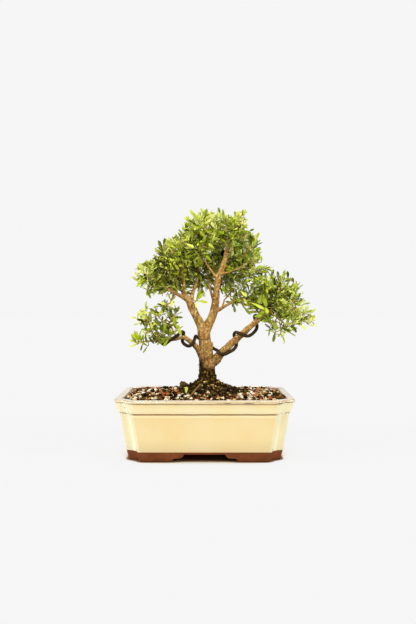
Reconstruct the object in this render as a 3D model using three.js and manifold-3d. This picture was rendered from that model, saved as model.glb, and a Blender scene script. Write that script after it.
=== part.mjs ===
// A boxwood bonsai in its pot: a glazed stoneware pot with coved corners and cloud feet, drainage
// screens with their clips, the growing medium, one grown piece of trunk, roots and branches, the
// aluminium training wire on its two lowest branches, and the leaf pads that the twigs carry.
// Millimetres, +Z up. The front of the tree looks along -Y. All places below are measured from the
// middle of the pot, on the surface that it stands on; the finished group is then moved so that its
// origin is the middle of the whole outline.

import * as THREE from "three";
import { mergeVertices } from "three/addons/utils/BufferGeometryUtils.js";
import Module from "manifold-3d";

const wasm = await Module();
wasm.setup();

// Driving dimensions
const GAP = 0.3; // between pieces that touch
const RIM_LENGTH = 203; // an eight inch pot
const RIM_WIDTH = 152;
const RIM_HEIGHT = 70;
const GLAZE_LINE = 11.2; // below it the clay is bare
const FLOOR_UNDERSIDE = 10;
const FLOOR_TOP = 17;
const FOOT_INSET = 16.8; // from the rim to the sole's edge
const FOOT_WALL = 13;
const ARCH_TOP = 9; // heights of the openings between the feet, and of the step in their ends
const ARCH_LEDGE = 4.4;
const FRONT_ARCH = { halfTop: 23, halfLedge: 35, halfSole: 42.4 };
const SIDE_ARCH = { halfTop: 11, halfLedge: 20, halfSole: 26 };
const DRAIN_HOLE_RADIUS = 8;
const DRAIN_HOLE_OFFSET = 46; // from the pot's middle, along its length
const SCREEN_CELLS = 5; // each way
const SCREEN_PITCH = 6;
const SCREEN_BAR = 1.6;
const SCREEN_THICKNESS = 1.2;
const SCREEN_SIDE = SCREEN_CELLS * SCREEN_PITCH + SCREEN_BAR;
const CLIP_WIRE = 1.5;
const TRAINING_WIRE = 4;

const COLOURS = {
  glaze: 0xf4dfae,
  soil: 0x3a2f26,
  bark: 0xb98a55,
  wire: 0x3b2f28,
  leaf: 0x6f9a2e,
  plastic: 0x1f2422,
  aluminium: 0xb9bcc0,
  barkChip: 0x3a2a1c,
};

// Solids

function solidOf(geometry) {
  const bare = geometry.clone();
  bare.deleteAttribute("normal");
  bare.deleteAttribute("uv");
  const merged = mergeVertices(bare, 1e-4);
  return new wasm.Manifold(
    new wasm.Mesh({
      numProp: 3,
      vertProperties: merged.attributes.position.array,
      triVerts: new Uint32Array(merged.index.array),
    }),
  );
}

function geometryOf(solid) {
  const { vertProperties, triVerts } = solid.getMesh();
  const geometry = new THREE.BufferGeometry();
  geometry.setAttribute("position", new THREE.BufferAttribute(vertProperties, 3));
  geometry.setIndex(new THREE.BufferAttribute(triVerts, 1));
  geometry.computeVertexNormals();
  return geometry;
}

const joined = (solids) => solids.reduce((whole, next) => whole.add(next));

// A cut can leave crumbs beside the piece itself.
const largestOf = (solid) =>
  solid.decompose().reduce((most, next) => (next.volume() > most.volume() ? next : most));

function piece(name, geometry, colour, roughness, metalness = 0) {
  const material = new THREE.MeshStandardMaterial({ color: colour, roughness, metalness });
  const mesh = new THREE.Mesh(geometry, material);
  mesh.name = name;
  return mesh;
}

// Rings of equal count, counter-clockwise seen from above, joined from the first to the last and
// closed by a flat cap at each end.
function loft(rings) {
  const count = rings[0].length;
  const position = rings.flat().flatMap((point) => point.toArray());
  const index = [];
  for (let ring = 0; ring + 1 < rings.length; ring++) {
    for (let side = 0; side < count; side++) {
      const next = (side + 1) % count;
      const low = ring * count;
      const high = low + count;
      index.push(low + side, low + next, high + next, low + side, high + next, high + side);
    }
  }
  const capOf = (ring) =>
    THREE.ShapeUtils.triangulateShape(ring.map((p) => new THREE.Vector2(p.x, p.y)), []);
  for (const [a, b, c] of capOf(rings[0])) index.push(a, c, b);
  const last = (rings.length - 1) * count;
  for (const [a, b, c] of capOf(rings.at(-1))) index.push(last + a, last + b, last + c);
  const geometry = new THREE.BufferGeometry();
  geometry.setAttribute("position", new THREE.Float32BufferAttribute(position, 3));
  geometry.setIndex(index);
  return geometry;
}

// The pot

const SHOULDER_TURN = THREE.MathUtils.degToRad(80);
const ARC_STEPS = [2, 3, 2];

// One level of the pot: a rectangle whose corners are coved inwards between two round shoulders.
// cut is how far the corner reaches along each side, and shoulder is the shoulders' radius.
function potOutline(halfLength, halfWidth, cut, shoulder, z) {
  const [sin, cos] = [Math.sin(SHOULDER_TURN), Math.cos(SHOULDER_TURN)];
  const cove = (cut - shoulder * (1 - cos + sin)) / (sin - cos);
  const coveX = halfLength - shoulder + (shoulder + cove) * cos;
  const coveY = halfWidth - cut + (shoulder + cove) * sin;
  const arcs = [
    [halfLength - shoulder, halfWidth - cut, shoulder, 0, SHOULDER_TURN, false],
    [coveX, coveY, cove, Math.PI + SHOULDER_TURN, 1.5 * Math.PI - SHOULDER_TURN, true],
    [halfLength - cut, halfWidth - shoulder, shoulder, 0.5 * Math.PI - SHOULDER_TURN, 0.5 * Math.PI, false],
  ];
  const corner = arcs.flatMap(([x, y, radius, from, to, clockwise], arc) => {
    const curve = new THREE.EllipseCurve(x, y, radius, radius, from, to, clockwise);
    return curve.getPoints(ARC_STEPS[arc]).slice(arc ? 1 : 0);
  });
  const quarter = (signX, signY) => {
    const points = corner.map((p) => new THREE.Vector3(signX * p.x, signY * p.y, z));
    return signX * signY > 0 ? points : points.reverse();
  };
  return [...quarter(1, 1), ...quarter(-1, 1), ...quarter(-1, -1), ...quarter(1, -1)];
}

// From the sole of the feet up the outside, over the rim, and down the inside to the floor:
// how far in from the rim, height, corner cut, shoulder radius.
const POT_PROFILE = [
  [FOOT_INSET, 0, 15.5, 2.2],
  [15.2, 1.6, 16.3, 3],
  [13.1, GLAZE_LINE, 17, 3.2],
  [6.3, 54.6, 17, 3.2],
  [6.3, 55.4, 17, 3.2],
  [4.4, 56, 18.8, 5],
  [1.5, 65.2, 21.5, 8],
  [1.3, 65.8, 21.7, 8.2],
  [0, 66.4, 23, 9.4],
  [0, 68.4, 23, 9.4],
  [0.9, 69.7, 22.2, 8.6],
  [2.1, RIM_HEIGHT, 21, 7.4],
  [7.6, RIM_HEIGHT, 15.4, 2],
  [8.8, 69, 14.4, 1.6],
  [9.8, 64, 14, 1.4],
  [17.6, 21, 12.5, 1.4],
  [21.5, FLOOR_TOP, 11.5, 1.2],
];

const potLevel = ([inset, z, cut, shoulder]) =>
  potOutline(RIM_LENGTH / 2 - inset, RIM_WIDTH / 2 - inset, cut, shoulder, z);

// The cloud-shaped arch between two feet, from below the sole up to its flat top. It runs along Y.
function footArch({ halfTop, halfLedge, halfSole }, length) {
  const half = [
    [halfSole, -1, halfSole, 0],
    [halfLedge + 2, 0.6, halfLedge, ARCH_LEDGE - 0.5],
    [halfTop + 7, ARCH_LEDGE - 0.2, halfTop + 4.5, ARCH_LEDGE],
    [halfTop + 1.2, ARCH_LEDGE + 0.6, halfTop, ARCH_TOP],
  ];
  const arch = new THREE.Shape();
  arch.moveTo(-halfSole, -1).lineTo(halfSole, -1);
  for (const [throughX, throughZ, toX, toZ] of half) arch.quadraticCurveTo(throughX, throughZ, toX, toZ);
  const last = half.length - 1;
  arch.lineTo(-half[last][2], half[last][3]);
  for (let step = last; step > 0; step--) {
    const [throughX, throughZ] = half[step];
    const [, , toX, toZ] = half[step - 1];
    arch.quadraticCurveTo(-throughX, throughZ, -toX, toZ);
  }
  const bar = new THREE.ExtrudeGeometry(arch, { depth: length, bevelEnabled: false, curveSegments: 3 });
  return bar.translate(0, 0, -length / 2).rotateX(Math.PI / 2);
}

const drainHoleX = { left: -DRAIN_HOLE_OFFSET, right: DRAIN_HOLE_OFFSET };

function potSolid() {
  const hollowLevel = (z) => potLevel([FOOT_INSET + FOOT_WALL, z, 12, 2]);
  const underside = loft([hollowLevel(-1), hollowLevel(FLOOR_UNDERSIDE)]);
  const frontArch = footArch(FRONT_ARCH, RIM_WIDTH);
  const sideArch = footArch(SIDE_ARCH, RIM_LENGTH).rotateZ(Math.PI / 2);
  const drains = Object.values(drainHoleX).map((x) =>
    new THREE.CylinderGeometry(DRAIN_HOLE_RADIUS, DRAIN_HOLE_RADIUS, 2 * FLOOR_TOP, 20)
      .rotateX(Math.PI / 2)
      .translate(x, 0, FLOOR_TOP),
  );
  const cuts = [underside, frontArch, sideArch, ...drains].map(solidOf);
  return solidOf(loft(POT_PROFILE.map(potLevel))).subtract(joined(cuts));
}

// Drainage screens and the clips that hold them

const SCREEN_Z = FLOOR_TOP + GAP;

// A sheet with a square grid of cells cut through it
function screenSolid(x) {
  const sheet = new THREE.BoxGeometry(SCREEN_SIDE, SCREEN_SIDE, SCREEN_THICKNESS);
  const cell = SCREEN_PITCH - SCREEN_BAR;
  const cells = [];
  for (let column = 0; column < SCREEN_CELLS; column++) {
    for (let row = 0; row < SCREEN_CELLS; row++) {
      const place = [column, row].map((step) => (step - (SCREEN_CELLS - 1) / 2) * SCREEN_PITCH);
      const cut = new THREE.BoxGeometry(cell, cell, 2 * SCREEN_THICKNESS);
      cells.push(solidOf(cut.translate(...place, 0)));
    }
  }
  return solidOf(sheet).subtract(joined(cells)).translate([x, 0, SCREEN_Z + SCREEN_THICKNESS / 2]);
}

function roundBar(path, diameter, steps, sides) {
  const section = new THREE.Shape();
  for (let side = 0; side < sides; side++) {
    const angle = (2 * Math.PI * side) / sides;
    const point = [(diameter / 2) * Math.cos(angle), (diameter / 2) * Math.sin(angle)];
    if (side) section.lineTo(...point);
    else section.moveTo(...point);
  }
  return new THREE.ExtrudeGeometry(section, { extrudePath: path, steps, bevelEnabled: false });
}

const vectors = (points) => points.map((point) => new THREE.Vector3(...point));

// A staple over the screen: its legs go down through two mesh cells and the drain hole, and are
// bent apart under the floor.
function clipPath(x) {
  const leg = SCREEN_PITCH;
  const over = SCREEN_Z + SCREEN_THICKNESS + CLIP_WIRE / 2 + GAP;
  const under = FLOOR_UNDERSIDE - CLIP_WIRE / 2 - GAP;
  const half = [
    [leg + 11, under - 0.4],
    [leg + 5, under - 0.2],
    [leg + 1, under - 0.1],
    [leg + 0.1, under + 1.6],
    [leg, SCREEN_Z],
    [leg - 1.4, over],
  ];
  const points = [
    ...half.map(([dx, z]) => [x - dx, 0, z]),
    [x, 0, over],
    ...half.map(([dx, z]) => [x + dx, 0, z]).reverse(),
  ];
  return new THREE.CatmullRomCurve3(vectors(points), false, "centripetal");
}

const clipGeometry = (x, grow = 0) => roundBar(clipPath(x), CLIP_WIRE + 2 * grow, 24, 6);

// The trunk with its roots and branches: places along each middle line, and the radius there

const LIMBS = {
  trunk: [
    [4, 0, 58, 13], [4, 0, 72, 13.5], [3.8, 0, 82, 11.8], [3.4, 0, 90, 10.5], [3, 0, 100, 10],
    [2.2, 0, 109, 9.2], [1.1, 0, 118, 7.8], [0.2, 0, 129, 6.8], [-0.6, 0, 138, 6.6], [-1, 0, 146, 7],
  ],
  left_limb: [
    [-0.5, 0, 138, 5], [-4.2, -1, 150, 5.3], [-9.3, -3, 160, 5], [-13.6, -5, 168.5, 4.5],
    [-17.5, -6, 177, 4.3], [-20.5, -7, 183, 3.7],
  ],
  left_upright: [
    [-19.5, -7, 180, 3], [-24, -8, 188, 2.4], [-25, -9, 199, 1.8], [-25, -8, 211, 1.5],
    [-26, -6, 224, 1.3], [-29, -4, 238, 1.1],
  ],
  left_outer: [
    [-20, -7, 181, 3], [-27, -9, 185.5, 2.4], [-34, -12, 188.5, 2.1], [-41, -14, 192, 1.8],
    [-47, -15, 197, 1.6], [-57, -15, 204, 1.3], [-66, -12, 210, 1.1],
  ],
  left_inner: [
    [-17.5, -6, 178, 3], [-15, -2, 189, 2.3], [-11, 2, 200, 1.8], [-7, 4, 212, 1.5],
    [-5, 4, 225, 1.3], [-4, 2, 242, 1.1],
  ],
  left_back: [
    [-18, -6, 176, 2.6], [-24, 5, 184, 2], [-29, 16, 194, 1.6], [-32, 26, 206, 1.3], [-33, 33, 218, 1.1],
  ],
  right_limb: [
    [-0.8, 0, 138, 5], [2.8, 0, 150, 5.3], [8, -1, 160, 5], [11, -2, 168, 4.5], [12.4, -3, 177, 4.1],
    [13.5, -4, 186, 3.7], [14, -5, 195, 3.4], [15.3, -6, 206, 3.4], [19, -7, 217, 3.2],
    [23, -8, 225, 3.1], [25, -8, 233, 2.8],
  ],
  crown_leader: [
    [24.5, -8, 229, 2.8], [25.2, -8, 238, 2.3], [27, -8, 246, 1.9], [26, -6, 256, 1.5], [24.5, -2, 268, 1.2],
  ],
  crown_right: [
    [25, -8, 230, 2], [30.5, -9.5, 234, 1.7], [33.5, -10.5, 247, 1.5], [35, -10, 256, 1.3],
    [37, -7, 266, 1.1],
  ],
  crown_left: [
    [15.3, -6, 206, 1.6], [9, -8, 214, 1.3], [2, -10, 224, 1.2], [-2.5, -10, 234, 1.1], [-5, -8, 246, 1.1],
  ],
  crown_inner: [
    [12.6, -3, 178, 2.4], [8.5, 1, 187, 2], [5.5, 4, 197, 1.6], [3.5, 7, 208, 1.3], [1.5, 9, 220, 1.1],
  ],
  crown_back: [
    [13.5, -4, 187, 2.8], [16, 8, 198, 2.2], [20, 19, 211, 1.8], [24, 29, 224, 1.4], [27, 35, 238, 1.1],
  ],
  right_back: [[20, -7, 219, 2], [30, 5, 221, 1.7], [41, 14, 227, 1.4], [50, 20, 235, 1.1]],
  right_upper: [
    [18.5, -7, 213, 1.6], [28, -10, 214, 1.3], [37, -12, 217.5, 1.2], [48, -12, 223, 1.1],
    [57, -10, 230, 1.1],
  ],
  right_lower: [
    [11.5, -2.4, 167, 2.4], [19, -5, 171, 2.1], [25.5, -8, 175, 1.9], [32, -9, 178.5, 1.6],
    [40, -9, 181, 1.3], [51, -8, 184, 1.1],
  ],
  right_lower_spur: [[21, -5.5, 172, 1.6], [23, -3, 181, 1.3], [29, 0, 188.5, 1.1], [35, 3, 196, 1.1]],
  right_wired: [
    [3, 0, 96, 6.4], [8.8, -1, 105.6, 6], [14, -2, 111.6, 5.3], [21, -4, 119.2, 4.5], [30, -7, 127.9, 4.2],
    [39, -9, 136.2, 3.8], [48, -11, 144.2, 3.4], [57, -12, 152.4, 3.2], [64, -12, 159, 2.8],
    [72, -11, 165.5, 2.3], [83, -9, 171.5, 1.8], [97, -8, 177, 1.4], [110, -7, 180, 1.1],
  ],
  right_wired_upper: [[68, -11.5, 162.5, 2], [72, -8, 172, 1.6], [75, -5, 183, 1.3], [77, -4, 195, 1.1]],
  right_wired_back: [[80, -9.5, 170, 1.7], [86, 0, 174, 1.4], [90, 11, 180, 1.2], [92, 21, 187, 1.1]],
  right_wired_low: [[76, -10.5, 168, 1.6], [84, -14, 162, 1.3], [92, -15, 155, 1.1]],
  left_wired: [
    [0, 0, 106, 5], [-6, -2, 119.5, 3.9], [-11, -4, 126, 3.2], [-16, -6, 131, 2.9], [-21, -8, 134.4, 2.7],
    [-26, -9, 137.6, 2.5], [-31, -10, 136.2, 2.1], [-36, -11, 134.4, 1.9], [-44, -12, 133.2, 1.7],
    [-53, -12, 133, 1.5], [-64, -10, 132.6, 1.3], [-74, -9, 132, 1.1],
  ],
  left_wired_upper: [[-33, -10.5, 135, 1.5], [-38, -8, 145, 1.2], [-43, -6, 156, 1.1]],
  left_wired_tip: [[-57, -11.5, 132.8, 1.3], [-63, -7, 143, 1.2], [-67, -6, 155, 1.1]],
  pruned_stub: [[5.6, -1.5, 119, 1.5], [8.4, -1.8, 125, 1.2], [8.8, -1.8, 131, 0.8]],
  root_left: [
    [3, -1, 88, 7], [-9, -6, 79.5, 5], [-20, -10, 73, 3.4], [-34, -14, 66, 2.4], [-50, -18, 56, 1.4],
  ],
  root_front: [[4, -2, 88, 6.5], [9, -11, 79, 4.4], [15, -22, 71, 3], [20, -36, 61, 1.8]],
  root_thin: [
    [0, -4, 90, 3], [-4, -10.5, 82.6, 1.8], [-8, -18, 79.2, 1.4], [-13, -28, 74, 1.3], [-17, -37, 70.4, 1.2],
    [-21, -47, 65, 1.1],
  ],
  root_right: [[5, 0, 88, 7], [16, -3, 79.5, 5], [28, -5, 72, 3.4], [44, -8, 64, 2.2], [58, -12, 55, 1.4]],
  root_back: [[4, 2, 88, 6.5], [0, 13, 77, 4.6], [-6, 26, 67, 3], [-12, 40, 57, 1.8]],
  root_right_back: [[4, 1, 86, 6], [14, 10, 76, 4], [26, 20, 66, 2.6], [38, 30, 56, 1.6]],
};

const LIMB_SIDES = { trunk: 12, left_limb: 8, right_limb: 8, right_wired: 8 }; // and the rest:
const TWIG_SIDES = 6;

// A closed cylinder, bent along the limb's middle line, with the limb's own radius at each step
function limbGeometry(points, sides, grow) {
  const path = new THREE.CatmullRomCurve3(vectors(points.map(([x, y, z]) => [x, y, z])));
  const rings = points.length - 1;
  const { normals, binormals } = path.computeFrenetFrames(rings);
  const geometry = new THREE.CylinderGeometry(1, 1, 1, sides, rings);
  const position = geometry.attributes.position;
  const from = new THREE.Vector3();
  for (let vertex = 0; vertex < position.count; vertex++) {
    from.fromBufferAttribute(position, vertex);
    const ring = Math.round((from.y + 0.5) * rings);
    const span = path.getUtoTmapping(ring / rings) * rings;
    const before = Math.min(Math.floor(span), rings - 1);
    const radius = grow + THREE.MathUtils.lerp(points[before][3], points[before + 1][3], span - before);
    const place = path
      .getPointAt(ring / rings)
      .addScaledVector(normals[ring], from.z * radius)
      .addScaledVector(binormals[ring], from.x * radius);
    position.setXYZ(vertex, ...place.toArray());
  }
  return geometry;
}

const woodSolid = (grow = 0) =>
  joined(
    Object.entries(LIMBS).map(([name, points]) =>
      solidOf(limbGeometry(points, LIMB_SIDES[name] ?? TWIG_SIDES, grow)),
    ),
  );

// The training wire: one length, coiled along the left branch, behind the trunk, and along the right

const TRAINING_WIRE_ROUTE = [
  [-60.5, -15.6, 135.8], [-56.5, -13, 138.2], [-53.4, -8, 136], [-51.5, -8.2, 130.6], [-48, -12.5, 128.6],
  [-43.5, -16.5, 131.8], [-38.5, -16.3, 135.6], [-34, -15.2, 138.4], [-30, -13.2, 141.2], [-27, -9.6, 143.4],
  [-25.3, -5.4, 142], [-26.4, -3.4, 137], [-26.8, -5, 131.8], [-23.7, -7.4, 128.2], [-19, -9.4, 126.6],
  [-14, -11.4, 129.7], [-12, -7.4, 135.6], [-11, -1, 138], [-8.5, 5.1, 136], [-1.1, 9.5, 131],
  [6, 8.2, 126.4], [10.4, 3.4, 123], [12.9, -2.4, 121.9], [14.7, -7.7, 121.2], [17.9, -10.9, 117.6],
  [23, -11, 116.8], [28.8, -10, 119.4], [34.6, -7.2, 122.6], [37.7, -3.9, 127.4], [37.1, -1.8, 133],
  [34.9, -4, 138.8], [36.5, -10.9, 142.9], [42.4, -16.1, 141.3], [48.5, -15.8, 138.8], [53.2, -13, 139.2],
  [57.8, -9.6, 142.4], [61.4, -6.8, 146.6], [62.2, -5.2, 151.4], [60.2, -5.4, 156.6], [59, -8.6, 161.6],
  [60.7, -14.4, 162.9], [64.7, -17.7, 159.5], [70, -16.2, 156.6], [74.6, -11, 158.6], [75.6, -5.4, 164.4],
  [75.7, -5.3, 171.1], [78.4, -13.2, 174.8],
];

const trainingWireGeometry = (grow = 0) =>
  roundBar(
    new THREE.CatmullRomCurve3(vectors(TRAINING_WIRE_ROUTE), false, "centripetal"),
    TRAINING_WIRE + 2 * grow,
    2 * (TRAINING_WIRE_ROUTE.length - 1),
    6,
  );

// The growing medium fills the pot and rises around the trunk: share of the way out from the trunk
// to the wall, and height

const MOUND = [[0.8, 66.8], [0.6, 68.6], [0.45, 71.4], [0.32, 75.6], [0.22, 79.4], [0.14, 82]];
const SOIL_EDGE_HEIGHT = 66.2;
const MOUND_MIDDLE = new THREE.Vector3(3.5, 0, 0);

function soilSolid(buried) {
  const level = ([inset, z, cut]) => potLevel([inset + GAP, z, cut, 1.2]);
  const edge = level([9.5, SOIL_EDGE_HEIGHT, 14]);
  const rise = MOUND.map(([share, height]) =>
    edge.map((p) => MOUND_MIDDLE.clone().lerp(p, share).setZ(height)),
  );
  const sides = [level([22.2, FLOOR_TOP + GAP, 11.5]), level([18.4, 21.4, 12.5]), edge];
  return solidOf(loft([...sides, ...rise])).subtract(buried);
}

// What lies on the medium: a chip of bark, and one shed leaf

const CHIP = { halfSizes: [5.2, 3.6, 3.4], pitch: 0.35, yaw: 0.4, place: [-25.5, -2, 80.2] };

function chipGeometry(grow = 0) {
  const chip = new THREE.IcosahedronGeometry(1, 1);
  chip.scale(...CHIP.halfSizes.map((size) => size + grow));
  return chip.rotateY(CHIP.pitch).rotateZ(CHIP.yaw).translate(...CHIP.place);
}

// A leaf blade that lies flat along +Y from its stalk end, as long and wide as stated
function leafBladeGeometry(length, width, thickness) {
  const half = width / 2;
  const blade = new THREE.Shape();
  blade.moveTo(-0.5, 0);
  blade.bezierCurveTo(-0.8, 0.3 * length, -half, 0.45 * length, -half, 0.72 * length);
  blade.bezierCurveTo(-half, 0.95 * length, -0.3 * half, length, 0, length);
  blade.bezierCurveTo(0.3 * half, length, half, 0.95 * length, half, 0.72 * length);
  blade.bezierCurveTo(half, 0.45 * length, 0.8, 0.3 * length, 0.5, 0);
  return new THREE.ExtrudeGeometry(blade, { depth: thickness, bevelEnabled: false, curveSegments: 3 });
}

const SHED_LEAF = { length: 11, width: 4.6, thickness: 0.8, rise: 62, yaw: -12, foot: [-22, -26, 72.4] };

function shedLeafGeometry(grow = 0) {
  const { length, width, thickness, rise, yaw, foot } = SHED_LEAF;
  const blade = leafBladeGeometry(length + grow, width + 2 * grow, thickness + 2 * grow);
  blade.translate(0, -grow / 2, -grow);
  blade.rotateX(THREE.MathUtils.degToRad(rise));
  return blade.rotateZ(THREE.MathUtils.degToRad(yaw)).translate(...foot);
}

// Leaf pads: each a rounded mass of leaves whose tips stand out all round it. Middle and half sizes.

const LEAF_PADS = {
  lower_left_tip: [[-73, -10, 138], [18, 17, 12]],
  lower_left_front: [[-51, -12, 137], [15, 15, 10]],
  lower_left_upper: [[-46, -6, 163], [16, 17, 17]],
  lower_left_far: [[-74, -7, 160], [14, 14, 11]],
  upper_left_outer: [[-68, -6, 208], [17, 22, 17]],
  upper_left_inner: [[-44, -4, 227], [24, 26, 24]],
  upper_left_low: [[-40, 4, 203], [22, 20, 13]],
  upper_left_top: [[-35, 0, 250], [23, 24, 16]],
  upper_left_back: [[-38, 32, 220], [24, 18, 22]],
  crown_left: [[-8, -2, 259], [19, 26, 24]],
  crown_top: [[17, 0, 270], [19, 24, 19]],
  crown_right: [[40, -2, 266], [17, 22, 20]],
  crown_outer: [[52, 0, 244], [15, 22, 18]],
  crown_middle: [[-6, 14, 224], [20, 20, 25]],
  crown_back: [[26, 28, 232], [27, 20, 32]],
  right_upper: [[53, 6, 222], [17, 20, 13]],
  right_lower: [[42, 2, 186], [21, 16, 10]],
  right_pad_top: [[86, -4, 195], [24, 24, 16]],
  right_pad_inner: [[74, 0, 176], [18, 20, 14]],
  right_pad_outer: [[111, -7, 178], [18, 20, 18]],
  right_pad_low: [[93, -12, 154], [20, 16, 13]],
  right_pad_back: [[90, 22, 181], [20, 13, 15]],
  right_pad_tip: [[125, -8, 163], [9, 11, 9]],
  fork_sprout: [[-4, -9, 185], [7, 6, 6]],
};

const LEAF_TIP_REACH = 1.24; // of the half sizes, and the hollows between the tips
const LEAF_HOLLOW_REACH = 0.86;

const ICOSAHEDRON_CORNERS = [];
const corners = mergeVertices(new THREE.IcosahedronGeometry(1, 0).deleteAttribute("uv"));
for (let corner = 0; corner < corners.attributes.position.count; corner++) {
  ICOSAHEDRON_CORNERS.push(new THREE.Vector3().fromBufferAttribute(corners.attributes.position, corner));
}

function leafPadGeometry([middle, halfSizes], grow = 0) {
  const geometry = new THREE.IcosahedronGeometry(1, 1);
  const position = geometry.attributes.position;
  const point = new THREE.Vector3();
  for (let vertex = 0; vertex < position.count; vertex++) {
    point.fromBufferAttribute(position, vertex);
    const isTip = ICOSAHEDRON_CORNERS.some((corner) => corner.distanceTo(point) < 0.01);
    position.setXYZ(vertex, ...point.multiplyScalar(isTip ? LEAF_TIP_REACH : LEAF_HOLLOW_REACH).toArray());
  }
  return geometry.scale(...halfSizes.map((size) => size + grow)).translate(...middle);
}

// A pad has room for the branches and the wire that run through it, and for the pads before it.
function leafPads(obstacles) {
  const meshes = [];
  let taken = obstacles;
  for (const [name, pad] of Object.entries(LEAF_PADS)) {
    const own = largestOf(solidOf(leafPadGeometry(pad)).subtract(taken));
    meshes.push(piece(`leaves_${name}`, geometryOf(own), COLOURS.leaf, 0.45));
    taken = taken.add(solidOf(leafPadGeometry(pad, GAP)));
  }
  return meshes;
}

// The whole

function potWithScreens() {
  const group = new THREE.Group();
  group.add(piece("pot", geometryOf(potSolid()), COLOURS.glaze, 0.18));
  for (const [side, x] of Object.entries(drainHoleX)) {
    group.add(piece(`drain_screen_${side}`, geometryOf(screenSolid(x)), COLOURS.plastic, 0.6));
    group.add(piece(`screen_clip_${side}`, clipGeometry(x), COLOURS.aluminium, 0.4, 1));
  }
  return group;
}

function groundCover() {
  const screens = Object.values(drainHoleX).flatMap((x) => {
    const room = new THREE.BoxGeometry(SCREEN_SIDE + 2 * GAP, SCREEN_SIDE + 2 * GAP, 2 * SCREEN_THICKNESS);
    room.translate(x, 0, SCREEN_Z + GAP);
    return [solidOf(room), solidOf(clipGeometry(x, GAP))];
  });
  const buried = [woodSolid(GAP), solidOf(chipGeometry(GAP)), solidOf(shedLeafGeometry(GAP)), ...screens];
  const group = new THREE.Group();
  group.add(piece("growing_medium", geometryOf(largestOf(soilSolid(joined(buried)))), COLOURS.soil, 0.95));
  group.add(piece("bark_chip", chipGeometry(), COLOURS.barkChip, 0.9));
  group.add(piece("shed_leaf", shedLeafGeometry(), COLOURS.leaf, 0.5));
  return group;
}

function tree() {
  const group = new THREE.Group();
  group.add(piece("trunk_and_branches", geometryOf(woodSolid()), COLOURS.bark, 0.9));
  group.add(piece("training_wire", trainingWireGeometry(), COLOURS.wire, 0.5, 0.6));
  group.add(...leafPads(woodSolid(GAP).add(solidOf(trainingWireGeometry(GAP)))));
  return group;
}

const bonsai = new THREE.Group();
bonsai.add(potWithScreens(), groundCover(), tree());
const middle = new THREE.Box3().setFromObject(bonsai).getCenter(new THREE.Vector3());
bonsai.position.set(-middle.x, -middle.y, 0);

export default bonsai;
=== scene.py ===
# A boxwood bonsai in its glazed pot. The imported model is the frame, and every piece is made round it.
import math
import random

import bmesh
import bpy
import numpy as np
from mathutils import Matrix, Vector
from mathutils.bvhtree import BVHTree


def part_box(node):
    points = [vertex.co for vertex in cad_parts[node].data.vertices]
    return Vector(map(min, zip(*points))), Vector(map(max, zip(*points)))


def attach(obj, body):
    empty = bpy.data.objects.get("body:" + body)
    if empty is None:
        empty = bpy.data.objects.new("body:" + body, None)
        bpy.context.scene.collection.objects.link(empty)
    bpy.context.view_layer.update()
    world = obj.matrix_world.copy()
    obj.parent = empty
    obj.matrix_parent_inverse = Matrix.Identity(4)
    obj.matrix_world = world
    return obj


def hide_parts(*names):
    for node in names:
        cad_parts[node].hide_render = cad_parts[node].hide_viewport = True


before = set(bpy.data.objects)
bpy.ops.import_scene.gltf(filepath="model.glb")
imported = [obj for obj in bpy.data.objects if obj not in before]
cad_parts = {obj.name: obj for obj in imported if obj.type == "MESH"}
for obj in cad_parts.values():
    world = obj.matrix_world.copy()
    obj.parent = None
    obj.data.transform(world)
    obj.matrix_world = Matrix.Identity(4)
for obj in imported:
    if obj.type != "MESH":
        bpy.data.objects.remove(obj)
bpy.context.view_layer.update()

# Places and sizes below are in millimetres from the pot's middle, and Blender's own are in metres

MM = 0.001
pot_low, pot_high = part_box("pot")
POT_MIDDLE_X = (pot_low.x + pot_high.x) / 2


def place(x, y, z):
    return Vector((x * MM + POT_MIDDLE_X, y * MM, z * MM))


# What the studio camera sees, in the plane of the trunk

EYE = (3.7, -802, 167)
PICTURE_HEIGHT = 624
FOCUS = 667  # the lens's focal length in the picture's own pixels


def seen_from_front(where):
    """How far across and up the camera sees a place."""
    x, y, z = (where.x - POT_MIDDLE_X) / MM, where.y / MM, where.z / MM
    shrink = -EYE[1] / (y - EYE[1])
    return EYE[0] + (x - EYE[0]) * shrink, EYE[2] + (z - EYE[2]) * shrink


def from_front(across, up, depth):
    """The place at this depth that the camera sees so far across and up."""
    grow = (depth - EYE[1]) / -EYE[1]
    return place(EYE[0] + (across - EYE[0]) * grow, depth, EYE[2] + (up - EYE[2]) * grow)


def inside_outline(x, y, outline):
    inside = False
    for (x1, y1), (x2, y2) in zip(outline, outline[1:] + outline[:1]):
        if (y1 > y) != (y2 > y) and x < (x2 - x1) * (y - y1) / (y2 - y1) + x1:
            inside = not inside
    return inside


# Hand tools


def only(*objects):
    bpy.ops.object.select_all(action="DESELECT")
    for obj in objects:
        obj.select_set(True)
    bpy.context.view_layer.objects.active = objects[0]


def edit_whole(obj):
    """Goes into edit mode with the whole mesh selected."""
    only(obj)
    bpy.ops.object.mode_set(mode="EDIT")
    bpy.ops.mesh.select_all(action="SELECT")


def apply_all(obj):
    only(obj)
    for modifier in list(obj.modifiers):
        bpy.ops.object.modifier_apply(modifier=modifier.name)


def settle(obj):
    """Puts the object's place into its mesh, so that the object is at the origin."""
    only(obj)
    bpy.ops.object.transform_apply(location=True, rotation=True, scale=True)


def join(objects, name):
    only(*objects)
    if len(objects) > 1:
        bpy.ops.object.join()
    whole = bpy.context.view_layer.objects.active
    settle(whole)
    whole.name = whole.data.name = name
    return whole


def remove(*objects):
    for obj in objects:
        bpy.data.objects.remove(obj, do_unlink=True)


def hand_in(obj, name, finish, stands_for=()):
    """Names the piece, gives it its finish, ties it to the body, and hides the CAD nodes it stands for."""
    obj.name = obj.data.name = name
    obj.data.materials.clear()
    obj.data.materials.append(finish)
    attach(obj, "root")
    if stands_for:
        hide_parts(*stands_for)
    return obj


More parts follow.
